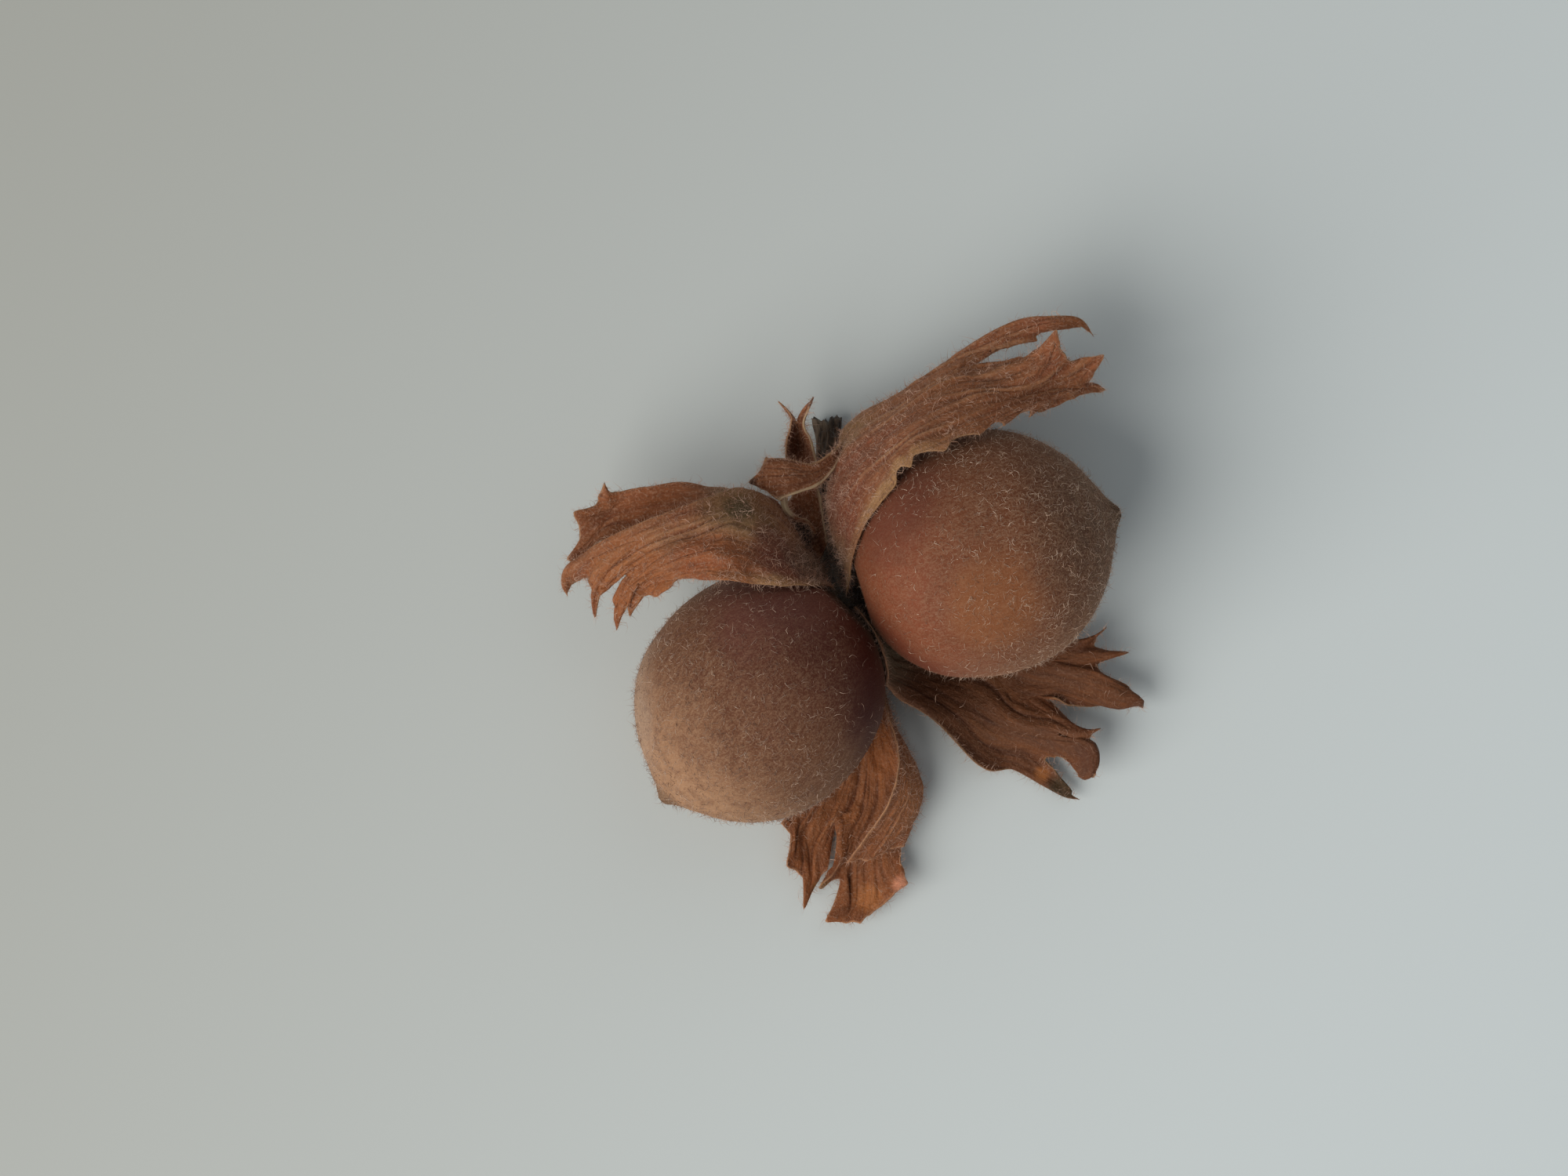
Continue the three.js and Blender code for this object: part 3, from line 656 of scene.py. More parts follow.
def hairMaterial(name, pale, deep):
    material, tree = shaderTree(name)
    tone = noiseTex(tree, objectPlace(tree), 900, 2.0, 0.5)
    base = mixColour(tree, rangeOf(tree, tone, 0.35, 0.65), deep, pale)
    finishShader(tree, base, 0.55, None, {"Specular IOR Level": 0.4, "Sheen Weight": 0.2})
    return material


def barkMaterial(name, look):
    material, tree = shaderTree(name)
    torn = attribute(tree, "torn")
    barkPlace = attribute(tree, "barkPlace", "Vector")
    grain = noiseTex(tree, scaled(tree, barkPlace, look["grain"]), 1.0, 5.0, 0.65, 0.5)
    patch = noiseTex(tree, objectPlace(tree), look["patchCount"], 3.0, 0.6)
    base = mixColour(tree, rangeOf(tree, grain, 0.32, 0.68), look["dark"], look["light"])
    base = mixColour(tree, rangeOf(tree, patch, 0.45, 0.7, 0.0, 0.7), base, look["patch"])
    wood = maths(tree, "MULTIPLY", torn, rangeOf(tree, grain, 0.4, 0.6))
    base = mixColour(tree, wood, base, look["torn"])
    normal = bumped(tree, grain, 0.8, 0.3)
    finishShader(tree, base, 0.85, normal, {"Specular IOR Level": 0.25, "Sheen Weight": 0.1})
    return material


huskOuter = huskMaterial("driedHuskOuter", {"spots": [
    ((-1.6, 9.6, 10.0), 5.0, colour(116, 52, 34), 0.65),
    ((1.6, 5.0, 12.5), 4.5, colour(122, 58, 36), 0.5),
    ((-0.6, 13.6, 7.0), 3.0, colour(136, 110, 72), 0.5),
    ((-8.2, 8.3, 11.8), 4.4, colour(130, 106, 68), 0.55),
    ((-8.7, 8.3, 11.8), 1.7, colour(70, 58, 28), 0.85),
    ((-5.8, 5.2, 12.6), 3.4, colour(112, 54, 42), 0.75),
    ((-3.4, 4.0, 10.4), 3.2, colour(94, 74, 60), 0.75),
    ((-10.4, 4.2, 14.0), 4.2, colour(152, 84, 44), 0.7),
    ((-16.5, 3.6, 10.5), 4.6, colour(164, 98, 52), 0.6),
    ((-14.5, 9.2, 8.4), 4.6, colour(150, 84, 46), 0.6),
    ((8.0, 16.6, 11.5), 5.5, colour(150, 92, 54), 0.5),
]})
# the right lower husk's inner face: its valley, crest, patch and tip tones are darkened as painted shade
# from the nut above it
shadedHuskInner = huskMaterial("driedHuskInnerShaded", {
    "rimShare": 0.4, "fuzz": 0.12, "sheen": 0.1,
    "band": colour(196, 138, 102), "bandSide": "first", "bandWide": 0.45, "bandTo": 0.6,
    "innerValley": colour(78, 42, 22), "innerCrest": colour(124, 76, 44),
    "innerPatch": colour(98, 56, 30), "tip": colour(120, 68, 36),
    # painted light: the grey-olive foot is brightened to stand for light that its sideways, shaded face
    # doesn't get
    "foot": colour(158, 144, 114), "footTo": 14.0, "footShare": 0.9,
    "spots": [
        ((13.6, -11.3, 1.2), 0.9, colour(176, 108, 52), 0.55),
        ((15.2, -12.4, 1.2), 1.6, colour(62, 46, 22), 0.9),
        ((17.3, -9.9, 3.2), 1.5, colour(92, 50, 26), 0.7),
        ((20.9, -5.8, 3.0), 1.6, colour(112, 64, 36), 0.6),
    ],
})
huskRibbed = huskMaterial("driedHuskRibbed", {
    "rim": colour(204, 152, 112), "rimShare": 0.55, "rimWide": 0.3, "fuzz": 0.25, "bandShare": 0.0,
    "innerValley": colour(98, 52, 28), "innerCrest": colour(166, 102, 58),
    "innerPatch": colour(128, 74, 40), "valley": colour(124, 70, 40), "crest": colour(170, 108, 66),
    "patch": colour(160, 100, 58), "foot": colour(110, 78, 50), "footTo": 6.0,
    "spots": [
        ((2.2, -9.6, 1.6), 3.0, colour(176, 104, 54), 0.6),
        ((4.6, -12.6, 3.0), 3.2, colour(182, 116, 70), 0.6),
        ((0.9, -20.5, 1.0), 1.6, colour(186, 116, 62), 0.6),
        ((-2.6, -20.0, 1.6), 1.2, colour(150, 112, 52), 0.7),
        ((3.2, -19.4, 1.8), 1.1, colour(226, 152, 118), 0.7),
    ],
})
huskSmall = huskMaterial("driedHuskSmall", {
    "crest": colour(160, 104, 68), "patchShare": 0.2, "footFrom": -2.0, "footTo": 0.5,
    "band": colour(200, 176, 140), "bandWide": 0.15, "bandTo": 0.9,
    "spots": [
        ((-5.5, 8.4, 8.4), 1.3, colour(206, 188, 152), 0.85),
        ((-8.1, 10.2, 8.8), 0.8, colour(58, 34, 24), 0.9),
        ((-3.4, 16.3, 8.0), 1.0, colour(84, 54, 46), 0.8),
        ((-4.4, 12.4, 4.4), 1.6, colour(90, 44, 24), 0.7),
        # painted shadow: a near-black stain on the small inner blade, where the gap beside the left
        # upper husk lies in deep shade
        ((-4.6, 6.4, 4.2), 1.9, colour(28, 18, 13), 0.95),
    ],
})

hairShapes = {
    "bends": ((0.5, -0.7), (0.35, 0.5), (0.7, 0.15)),  # three hairs: how far over, how far aside
    "swayTurn": 3.6, "swayShare": 0.4,
    "lowest": 0.02,                           # no hair goes below this height, mm
}


def hairTree(name, segments):
    # grows short curved hairs on the faces of a piece, as real mesh
    tree = bpy.data.node_groups.new(name, "GeometryNodeTree")
    face = tree.interface
    face.new_socket("Geometry", in_out="INPUT", socket_type="NodeSocketGeometry")
    for label, kind in (("Density", "Float"), ("Length", "Float"), ("Width", "Float"),
                        ("Curl", "Float"), ("Lean", "Float"), ("LeanSpread", "Float"),
                        ("Spread", "Float"), ("Seed", "Int"), ("Material", "Material")):
        face.new_socket(label, in_out="INPUT", socket_type="NodeSocket" + kind)
    face.new_socket("Geometry", in_out="OUTPUT", socket_type="NodeSocketGeometry")
    given = tree.nodes.new("NodeGroupInput").outputs

    grown = node(tree, "GeometryNodeInputNamedAttribute", {"data_type": "FLOAT"}, {"Name": "grow"})
    density = maths(tree, "MULTIPLY", given["Density"], openSocket(grown, "Attribute", True))
    points = node(tree, "GeometryNodeDistributePointsOnFaces", {"distribute_method": "RANDOM"},
                  {"Mesh": given["Geometry"], "Density": density, "Seed": given["Seed"]})

    rod = node(tree, "GeometryNodeMeshCone", {"fill_type": "NGON"},
               {"Vertices": 3, "Side Segments": segments, "Radius Top": 0.0, "Depth": 1.0,
                "Radius Bottom": maths(tree, "DIVIDE", given["Width"], given["Length"])})
    shapes = node(tree, "GeometryNodeJoinGeometry")
    place = node(tree, "GeometryNodeInputPosition").outputs[0]
    rise = node(tree, "ShaderNodeSeparateXYZ", {}, {0: place}).outputs["Z"]
    for bend, sway in hairShapes["bends"]:
        # a hair leans over in a bow, and its end sways aside
        bow = maths(tree, "MULTIPLY", maths(tree, "POWER", rise, 2.0), given["Curl"])
        turn = maths(tree, "SINE", maths(tree, "MULTIPLY", rise, hairShapes["swayTurn"]))
        aside = maths(tree, "MULTIPLY", turn, given["Curl"])
        offset = node(tree, "ShaderNodeCombineXYZ", {},
                      {"X": maths(tree, "MULTIPLY", bow, bend),
                       "Y": maths(tree, "MULTIPLY", aside, sway * hairShapes["swayShare"])})
        bent = node(tree, "GeometryNodeSetPosition", {},
                    {"Geometry": rod.outputs["Mesh"], "Offset": offset.outputs[0]})
        single = node(tree, "GeometryNodeGeometryToInstance", {}, {"Geometry": bent.outputs[0]})
        tree.links.new(single.outputs[0], shapes.inputs[0])

    def randomOf(low, high, step, kind="FLOAT"):
        made = node(tree, "FunctionNodeRandomValue", {"data_type": kind},
                    {"Min": low, "Max": high,
                     "Seed": maths(tree, "ADD", given["Seed"], float(step))})
        return openSocket(made, "Value", True)

    def around(middle, spread, step):
        return randomOf(maths(tree, "SUBTRACT", middle, spread),
                        maths(tree, "ADD", middle, spread), step)

    def turned(rotation, axis, angle):
        parts = node(tree, "ShaderNodeCombineXYZ", {}, {axis: angle})
        euler = node(tree, "FunctionNodeEulerToRotation", {}, {"Euler": parts.outputs[0]})
        made = node(tree, "FunctionNodeRotateRotation", {"rotation_space": "LOCAL"},
                    {"Rotation": rotation, "Rotate By": euler.outputs[0]})
        return made.outputs[0]

    rotation = turned(points.outputs["Rotation"], "Z", randomOf(0.0, 2 * math.pi, 1))
    rotation = turned(rotation, "Y", around(given["Lean"], given["LeanSpread"], 2))
    rotation = turned(rotation, "Z", randomOf(0.0, 2 * math.pi, 3))
    size = maths(tree, "MULTIPLY", around(1.0, given["Spread"], 4), given["Length"])
    hairs = node(tree, "GeometryNodeInstanceOnPoints", {},
                 {"Points": points.outputs["Points"], "Instance": shapes.outputs[0],
                  "Pick Instance": True, "Instance Index": randomOf(0, 2, 5, "INT"),
                  "Rotation": rotation, "Scale": size})
    real = node(tree, "GeometryNodeRealizeInstances", {}, {"Geometry": hairs.outputs[0]})
    dressed = node(tree, "GeometryNodeSetMaterial", {},
                   {"Geometry": real.outputs[0], "Material": given["Material"]})
    result = tree.nodes.new("NodeGroupOutput")
    tree.links.new(dressed.outputs[0], result.inputs[0])
    return tree


def growHairs(name, carrier, grow, look, material):
    # grow is a share for each vertex of the carrier, which says how thickly the hairs stand
    bare = carrier.data.copy()
    layer = bare.attributes.new("grow", "FLOAT", "POINT")
    layer.data.foreach_set("value", np.asarray(grow, np.float32))
    piece = bpy.data.objects.new(name, bare)
    bpy.context.scene.collection.objects.link(piece)
    modifier = piece.modifiers.new("hairs", "NODES")
    tree = hairTrees[look["segments"]]
    modifier.node_group = tree
    sockets = {item.name: item.identifier for item in tree.interface.items_tree
               if item.item_type == "SOCKET" and item.in_out == "INPUT"}
    values = {"Density": look["density"] / mm ** 2, "Length": look["length"] * mm,
              "Width": look["width"] * mm, "Curl": look["curl"], "Lean": look["lean"],
              "LeanSpread": look["leanSpread"], "Spread": look["spread"], "Seed": look["seed"],
              "Material": material}
    for key, value in values.items():
        modifier[sockets[key]] = value
    view = bpy.context.evaluated_depsgraph_get()
    grown = bpy.data.meshes.new_from_object(piece.evaluated_get(view))
    piece.modifiers.clear()
    piece.data = grown
    grown.name = name
    points = np.empty(len(grown.vertices) * 3, np.float32)
    grown.vertices.foreach_get("co", points)
    points[2::3] = np.maximum(points[2::3], hairShapes["lowest"] * mm)
    grown.vertices.foreach_set("co", points)
    grown.update()
    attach(piece, "root")
    print("hairs", name, len(grown.polygons), "faces")


# what a leaf's own look starts from; heights, reaches and thicknesses are in mm
leafLook = {
    "columnsPerVein": 9, "rows": 120, "width": 13.0, "ridges": 10,
    "pleat": 0.16, "wrinkle": 0.4, "pucker": 0.06,
    "sideTooth": 0.5, "toothReach": 1.9, "toothSpan": 2.0,
    "endTooth": 0.02, "endSpan": 0.5, "hollow": 0.02,
    "firstTeeth": (2.0, 3.0), "lastTeeth": (2.0, 3.0),  # from and to along a margin; 2 is never
    "curl": 0.1, "curlSpread": 0.5, "curlReach": 0.6,
    "thickness": 0.28, "rimThickness": 0.1, "rimReach": 0.5,
}
# three rails lead each leaf from its foot; a vein is its share from the first rail to the last,
# and the points that it runs on through
rightUpper = {
    "look": {"lastTeeth": (0.4, 0.9), "ridges": 11, "width": 13, "pleat": 0.24, "curlSpread": 0.25,
             "sideTooth": 1.5, "toothSpan": 2.6, "rows": 170},
    "rails": [
        [[-0.2, 7.0, 3.4], [-1.1, 10.2, 4.4], [-0.4, 13.7, 5.2], [3.3, 16.3, 6.4], [7.0, 18.9, 7.4]],
        [[-0.2, 4.8, 6.0], [-1.6, 6.9, 7.6], [-0.3, 11.2, 10.2], [3.2, 14.2, 11.6], [7.4, 16.4, 11.8]],
        [[-0.5, 1.9, 8.8], [0.1, 4.5, 11.4], [1.6, 8.1, 13.5], [3.7, 10.6, 14.5], [7.4, 12.4, 14.6]],
    ],
    "veins": [
        [0.0, [8.6, 20.1, 8.6], [12.1, 21.8, 9.2], [14.6, 22.0, 9.6],
         [16.4, 21.8, 9.4], [17.4, 20.5, 8.4]],
        [0.06, [9.8, 20.1, 8.9], [12.6, 21.1, 9.4], [14.7, 21.5, 9.7], [16.3, 21.3, 9.3]],
        [0.11, [9.8, 19.6, 8.8], [11.9, 20.4, 9.2], [14.1, 21.2, 9.3]],
        [0.15, [9.8, 19.6, 8.8], [11.6, 20.4, 9.0], [13.4, 20.3, 8.6]],
        [0.19, [9.7, 19.3, 8.8], [11.4, 20.3, 8.9]],
        [0.23, [8.8, 18.5, 9.2]],
        [0.3, [9.8, 18.1, 10.0], [12.0, 18.9, 10.4]],
        [0.36, [10.7, 17.8, 10.8], [13.3, 19.1, 11.0]],
        [0.44, [11.2, 17.3, 11.4], [13.8, 19.0, 12.0], [14.2, 19.8, 12.6], [14.4, 21.1, 13.2]],
        [0.52, [12.3, 17.0, 11.8], [15.1, 19.2, 11.6]],
        [0.6, [12.8, 16.8, 11.6], [16.3, 18.9, 10.6]],
        [0.68, [13.5, 16.9, 11.2], [16.6, 18.3, 10.4], [18.2, 19.4, 11.2]],
        [0.76, [14.4, 16.6, 10.6], [17.1, 17.3, 9.6]],
        [0.86, [14.0, 16.2, 11.4], [16.4, 16.8, 9.8], [17.7, 17.1, 9.2], [18.4, 16.3, 8.6]],
        [0.93, [13.5, 15.8, 11.6], [16.2, 16.3, 9.8]],
        [1.0, [11.2, 14.4, 12.4], [14.0, 15.3, 10.6]],
    ],
}
leftUpper = {
    "look": {"ridges": 7, "width": 10, "curlSpread": 0.3, "pleat": 0.15, "wrinkle": 0.6},
    "rails": [
        [[-2.1, 3.9, 5.8], [-4.0, 5.9, 7.0], [-5.7, 8.9, 8.0], [-7.8, 9.7, 9.4], [-11.2, 8.3, 11.4]],
        [[-2.0, 3.0, 7.4], [-3.6, 4.0, 10.2], [-6.2, 5.6, 12.2], [-8.6, 6.4, 13.0], [-11.2, 5.9, 12.9]],
        [[-1.8, 1.9, 9.0], [-3.4, 2.1, 12.6], [-5.9, 2.6, 14.4], [-8.9, 2.9, 14.8], [-11.1, 3.0, 13.6]],
    ],
    "veins": [
        [0.0, [-14.5, 7.2, 11.4], [-17.7, 6.0, 10.0], [-19.6, 4.9, 8.4],
         [-21.0, 3.7, 7.6], [-21.2, 2.5, 7.0], [-20.7, 1.5, 6.4]],
        [0.1, [-14.7, 6.5, 11.7], [-17.7, 5.2, 10.0], [-19.6, 4.1, 8.6],
         [-20.3, 3.1, 7.4], [-19.8, 2.7, 7.0]],
        [0.18, [-14.7, 6.2, 11.7], [-17.5, 4.5, 10.2], [-19.3, 2.9, 8.6]],
        [0.3, [-14.7, 5.5, 11.8], [-17.2, 4.0, 10.2], [-18.7, 2.6, 9.0],
         [-19.0, 1.2, 8.0], [-18.6, -0.1, 7.0]],
        [0.4, [-14.8, 5.1, 11.7], [-16.8, 3.5, 10.1], [-18.5, 2.0, 8.6]],
        [0.48, [-15.0, 4.6, 11.6], [-17.4, 2.5, 9.4]],
        [0.55, [-14.8, 4.3, 11.5], [-16.2, 3.1, 9.8]],
        [0.62, [-14.6, 4.0, 11.4], [-16.3, 2.9, 9.6], [-17.5, 1.5, 8.4]],
        [0.7, [-14.7, 3.6, 11.3], [-16.2, 2.4, 9.6], [-17.1, 1.0, 8.4], [-17.2, -1.0, 7.2]],
        [0.78, [-15.0, 3.1, 11.0], [-16.4, 1.1, 9.0]],
        [0.84, [-14.8, 3.0, 11.0], [-16.0, 1.6, 9.2], [-16.2, 0.1, 8.2]],
        [0.9, [-14.2, 2.8, 11.2], [-15.5, 1.7, 9.8]],
        [0.95, [-13.4, 2.8, 11.8], [-14.1, 1.7, 10.6]],
        [1.0, [-12.2, 2.8, 12.6], [-13.2, 2.5, 11.4]],
    ],
}
leftUpperBack = {
    "look": {"ridges": 4, "width": 4, "pleat": 0.05, "columnsPerVein": 7, "rows": 80, "wrinkle": 0.25},
    "rails": [
        [[-7.6, 8.6, 9.2], [-9.0, 9.6, 9.3], [-10.7, 9.8, 8.6], [-12.6, 10.1, 8.4], [-15.3, 9.6, 8.6]],
        [[-7.5, 8.0, 9.6], [-8.9, 8.6, 9.7], [-11.0, 8.6, 8.8], [-13.2, 8.5, 8.1], [-15.6, 8.2, 7.8]],
        [[-7.5, 7.4, 10.0], [-8.8, 7.5, 10.2], [-11.2, 7.2, 9.0], [-13.2, 6.8, 8.0], [-15.4, 6.2, 7.5]],
    ],
    "veins": [
        [0.0, [-16.9, 9.3, 8.4], [-17.6, 9.3, 8.6], [-17.9, 9.9, 9.2]],
        [0.12, [-17.0, 8.9, 8.1], [-18.5, 8.8, 8.4]],
        [0.24, [-17.2, 8.4, 7.9], [-18.8, 8.1, 8.2]],
        [0.36, [-17.3, 8.1, 7.7], [-19.2, 7.7, 7.9], [-20.5, 7.9, 8.4]],
        [0.52, [-17.5, 7.6, 7.5], [-19.9, 6.0, 7.4]],
        [0.7, [-17.6, 7.1, 7.5], [-19.7, 5.2, 7.2], [-20.9, 4.4, 7.4]],
        [0.85, [-18.1, 6.5, 7.6], [-20.7, 3.7, 6.8]],
        [1.0, [-18.6, 5.7, 7.6], [-20.9, 3.1, 6.4]],
    ],
}
rightLower = {
    "look": {"ridges": 6, "width": 13, "pleat": 0.07, "wrinkle": 0.3, "columnsPerVein": 7},
    "rails": [
        [[-0.1, 0.9, 8.4], [0.6, -0.9, 9.6], [1.3, -3.1, 9.6], [3.2, -5.4, 5.8], [6.4, -7.6, 3.0]],
        [[0.5, 0.8, 7.4], [1.7, -1.5, 7.2], [3.2, -3.2, 4.8], [6.2, -4.2, 1.8], [9.6, -5.2, 1.3]],
        [[1.1, 0.8, 6.6], [2.6, -1.5, 4.0], [5.1, -1.3, 1.4], [8.8, -1.1, 0.6], [12.6, -0.6, 0.9]],
    ],
    "veins": [
        [0.0, [10.3, -11.1, 1.6], [12.0, -10.9, 1.2], [14.5, -12.4, 1.0],
         [15.9, -13.2, 1.2], [17.1, -13.4, 1.5]],
        [0.06, [10.3, -10.3, 1.3], [12.3, -10.6, 1.0], [14.3, -11.5, 0.8],
         [15.5, -12.2, 1.0], [16.5, -12.8, 1.4]],
        [0.12, [10.3, -9.6, 1.2], [12.5, -10.0, 1.0], [14.2, -10.7, 1.0], [15.1, -11.2, 1.4]],
        [0.17, [10.5, -9.2, 1.2], [12.8, -9.6, 1.3], [14.5, -10.5, 1.7]],
        [0.22, [10.9, -8.6, 1.4], [13.6, -9.4, 1.8], [15.2, -10.2, 2.2]],
        [0.27, [11.2, -8.2, 1.6], [14.2, -9.2, 2.2], [16.5, -10.5, 2.6]],
        [0.33, [11.5, -8.0, 2.0], [15.1, -8.8, 2.8], [17.2, -9.2, 3.4],
         [17.9, -10.5, 3.2], [17.5, -11.9, 2.4], [16.7, -11.5, 1.8]],
        [0.39, [11.9, -7.7, 2.3], [15.6, -8.5, 3.2], [17.5, -8.8, 3.9],
         [18.3, -10.2, 3.4], [18.0, -12.1, 2.2]],
        [0.45, [12.1, -7.5, 2.4], [15.8, -8.4, 3.4], [17.7, -8.7, 3.9]],
        [0.5, [12.2, -7.2, 2.4], [15.6, -8.0, 3.4], [17.2, -8.4, 3.9], [18.5, -7.8, 4.6]],
        [0.56, [12.3, -6.7, 2.2], [15.3, -7.2, 3.0], [17.1, -8.1, 3.6]],
        [0.62, [12.4, -6.0, 1.8], [14.3, -5.2, 2.2]],
        [0.69, [12.6, -4.9, 1.7], [15.0, -5.3, 2.3], [17.7, -6.3, 2.8]],
        [0.75, [13.1, -4.4, 1.8], [16.5, -5.1, 2.6], [19.6, -6.5, 2.9], [20.4, -6.8, 2.4]],
        [0.81, [13.4, -3.9, 2.0], [16.8, -4.4, 3.0], [20.0, -5.5, 3.4],
         [21.6, -5.9, 2.9], [22.1, -6.7, 2.0]],
        [0.86, [13.7, -3.4, 2.2], [17.3, -3.7, 3.2], [20.5, -4.9, 3.4]],
        [0.9, [14.2, -2.9, 2.3], [18.3, -3.4, 3.0]],
        [0.94, [14.5, -2.5, 2.4], [17.9, -2.7, 3.0], [20.9, -2.3, 3.6]],
        [0.97, [14.6, -2.0, 2.4], [18.2, -2.0, 3.0]],
        [1.0, [14.7, -1.5, 2.5], [17.6, -1.2, 3.2], [18.8, -0.5, 4.0]],
    ],
}
leftLower = {
    "look": {"ridges": 8, "width": 9, "pleat": 0.16, "wrinkle": 0.4, "columnsPerVein": 7},
    "rails": [
        [[0.4, -3.4, 2.2], [-0.5, -7.6, 1.6], [-2.4, -10.9, 1.2], [-3.7, -13.3, 1.2]],
        [[1.2, -3.4, 1.8], [1.3, -7.8, 1.1], [1.2, -11.4, 0.7], [0.8, -14.2, 0.7]],
        [[2.0, -3.6, 1.8], [3.1, -8.2, 1.7], [4.6, -11.1, 2.0], [5.0, -13.2, 1.9]],
    ],
    "veins": [
        [0.0, [-4.8, -14.5, 1.6], [-5.2, -15.1, 1.9]],
        [0.06, [-4.3, -15.1, 1.3], [-4.2, -16.1, 1.5]],
        [0.12, [-3.9, -15.7, 1.1], [-4.3, -17.4, 1.4], [-4.8, -18.4, 2.0]],
        [0.17, [-3.5, -16.3, 1.0], [-3.5, -19.4, 1.4]],
        [0.22, [-3.1, -16.9, 0.9], [-3.1, -19.5, 1.3], [-3.6, -21.7, 2.4]],
        [0.28, [-2.5, -16.9, 0.9], [-2.4, -19.6, 1.4]],
        [0.34, [-2.0, -16.3, 0.9], [-1.7, -18.7, 1.3]],
        [0.41, [-1.3, -14.6, 0.8], [-1.1, -15.1, 0.8]],
        [0.46, [-0.9, -15.7, 0.9], [-0.7, -17.8, 0.9]],
        [0.5, [-0.6, -16.3, 1.0], [-0.9, -18.3, 1.2], [-1.6, -19.4, 1.5], [-2.1, -20.4, 1.9]],
        [0.55, [-0.2, -16.9, 0.9], [-0.7, -19.3, 0.9]],
        [0.62, [0.3, -16.9, 0.9], [-0.3, -20.2, 0.9], [-0.2, -21.7, 1.3], [-2.1, -22.5, 2.2]],
        [0.69, [0.7, -17.2, 0.8], [0.4, -21.0, 0.9], [-0.5, -22.8, 1.5]],
        [0.77, [1.2, -17.2, 0.8], [1.1, -21.0, 0.9], [0.6, -22.8, 1.7]],
        [0.84, [1.8, -17.2, 0.9], [1.8, -20.7, 1.0], [1.5, -22.1, 1.5]],
        [0.9, [2.4, -16.9, 1.1], [2.5, -19.8, 1.3], [2.9, -20.8, 2.0]],
        [0.95, [2.9, -16.6, 1.3], [3.3, -18.9, 1.5], [4.4, -19.6, 2.4]],
        [1.0, [3.6, -16.2, 1.6], [3.7, -18.7, 1.7]],
    ],
}
leftLowerFold = {
    "look": {"ridges": 5, "width": 5, "pleat": 0.1, "columnsPerVein": 16, "rows": 90},
    "rails": [
        [[1.9, -3.9, 2.0], [3.1, -8.2, 1.9], [4.6, -11.0, 2.2], [5.0, -13.0, 2.1],
         [4.6, -15.0, 2.1], [3.7, -16.7, 2.3]],
        [[2.1, -4.0, 2.6], [3.1, -8.0, 3.5], [4.2, -10.7, 3.9], [4.3, -13.0, 3.9],
         [3.1, -15.6, 3.6], [1.8, -17.7, 3.3]],
        [[2.1, -4.2, 3.1], [2.7, -7.6, 4.6], [3.2, -10.0, 5.0], [2.5, -13.2, 4.8],
         [1.0, -15.8, 4.4], [-0.6, -18.0, 3.8]],
    ],
    "veins": [[0.0], [0.33], [0.67], [1.0]],
}
smallUpright = {
    "look": {"ridges": 3, "width": 2.5, "pleat": 0.08, "wrinkle": 0.15, "columnsPerVein": 10,
             "rows": 70, "curlSpread": 0.2},
    "rails": [
        [[-4.9, 11.4, 5.0], [-4.85, 13.0, 6.0], [-4.5, 14.3, 6.8]],
        [[-3.9, 11.3, 3.4], [-4.0, 12.9, 3.9], [-4.0, 14.2, 5.2]],
        [[-2.5, 11.4, 5.2], [-2.95, 13.1, 6.0], [-3.5, 14.3, 6.9]],
    ],
    "veins": [
        [0.0, [-4.6, 15.1, 7.4], [-5.6, 15.95, 8.0]],
        [0.3, [-4.4, 15.0, 6.8]],
        [0.5, [-4.1, 14.6, 6.2]],
        [0.7, [-3.7, 15.1, 7.0], [-3.1, 15.9, 7.6]],
        [1.0, [-3.2, 15.3, 7.6], [-2.8, 16.3, 8.2]],
    ],
}
smallFlap = {
    "look": {"ridges": 4, "width": 4, "pleat": 0.08, "wrinkle": 0.25, "columnsPerVein": 12,
             "rows": 80, "curl": 0.2, "curlSpread": 0.3, "rimThickness": 0.2},
    "rails": [
        [[-0.85, 12.9, 7.6], [-1.65, 12.1, 8.4], [-2.9, 11.35, 8.8], [-4.7, 11.75, 9.0],
         [-6.1, 11.75, 9.2]],
        [[-0.8, 12.5, 7.2], [-1.7, 11.4, 8.1], [-3.0, 10.6, 8.9], [-4.8, 10.4, 9.5], [-6.5, 10.3, 9.0]],
        [[-0.75, 12.1, 7.5], [-1.6, 10.75, 8.6], [-2.85, 9.95, 9.5], [-4.3, 9.1, 9.6], [-5.1, 8.8, 9.0]],
    ],
    "veins": [
        [0.0, [-6.3, 11.8, 9.2]],
        [0.3, [-6.7, 10.7, 9.0]],
        [0.5, [-7.6, 10.0, 8.8]],
        [0.7, [-6.6, 9.5, 8.8]],
        [1.0, [-5.3, 8.6, 8.8]],
    ],
}
smallStrand = {
    "look": {"ridges": 1, "width": 0.4, "pleat": 0.0, "wrinkle": 0.03, "columnsPerVein": 8, "rows": 60,
             "curlSpread": 0.05, "thickness": 0.2},
    "rails": [
        [[-5.25, 9.3, 8.4], [-5.15, 8.1, 8.2], [-4.4, 7.3, 7.6], [-3.25, 7.0, 6.9], [-2.7, 6.2, 6.2]],
        [[-5.0, 9.3, 8.6], [-4.9, 8.2, 8.4], [-4.27, 7.5, 7.8], [-3.2, 7.15, 7.0], [-2.6, 6.25, 6.3]],
        [[-4.75, 9.3, 8.4], [-4.65, 8.3, 8.2], [-4.1, 7.7, 7.6], [-3.15, 7.3, 6.9], [-2.5, 6.3, 6.2]],
    ],
    "veins": [[0.0], [0.5], [1.0]],
}
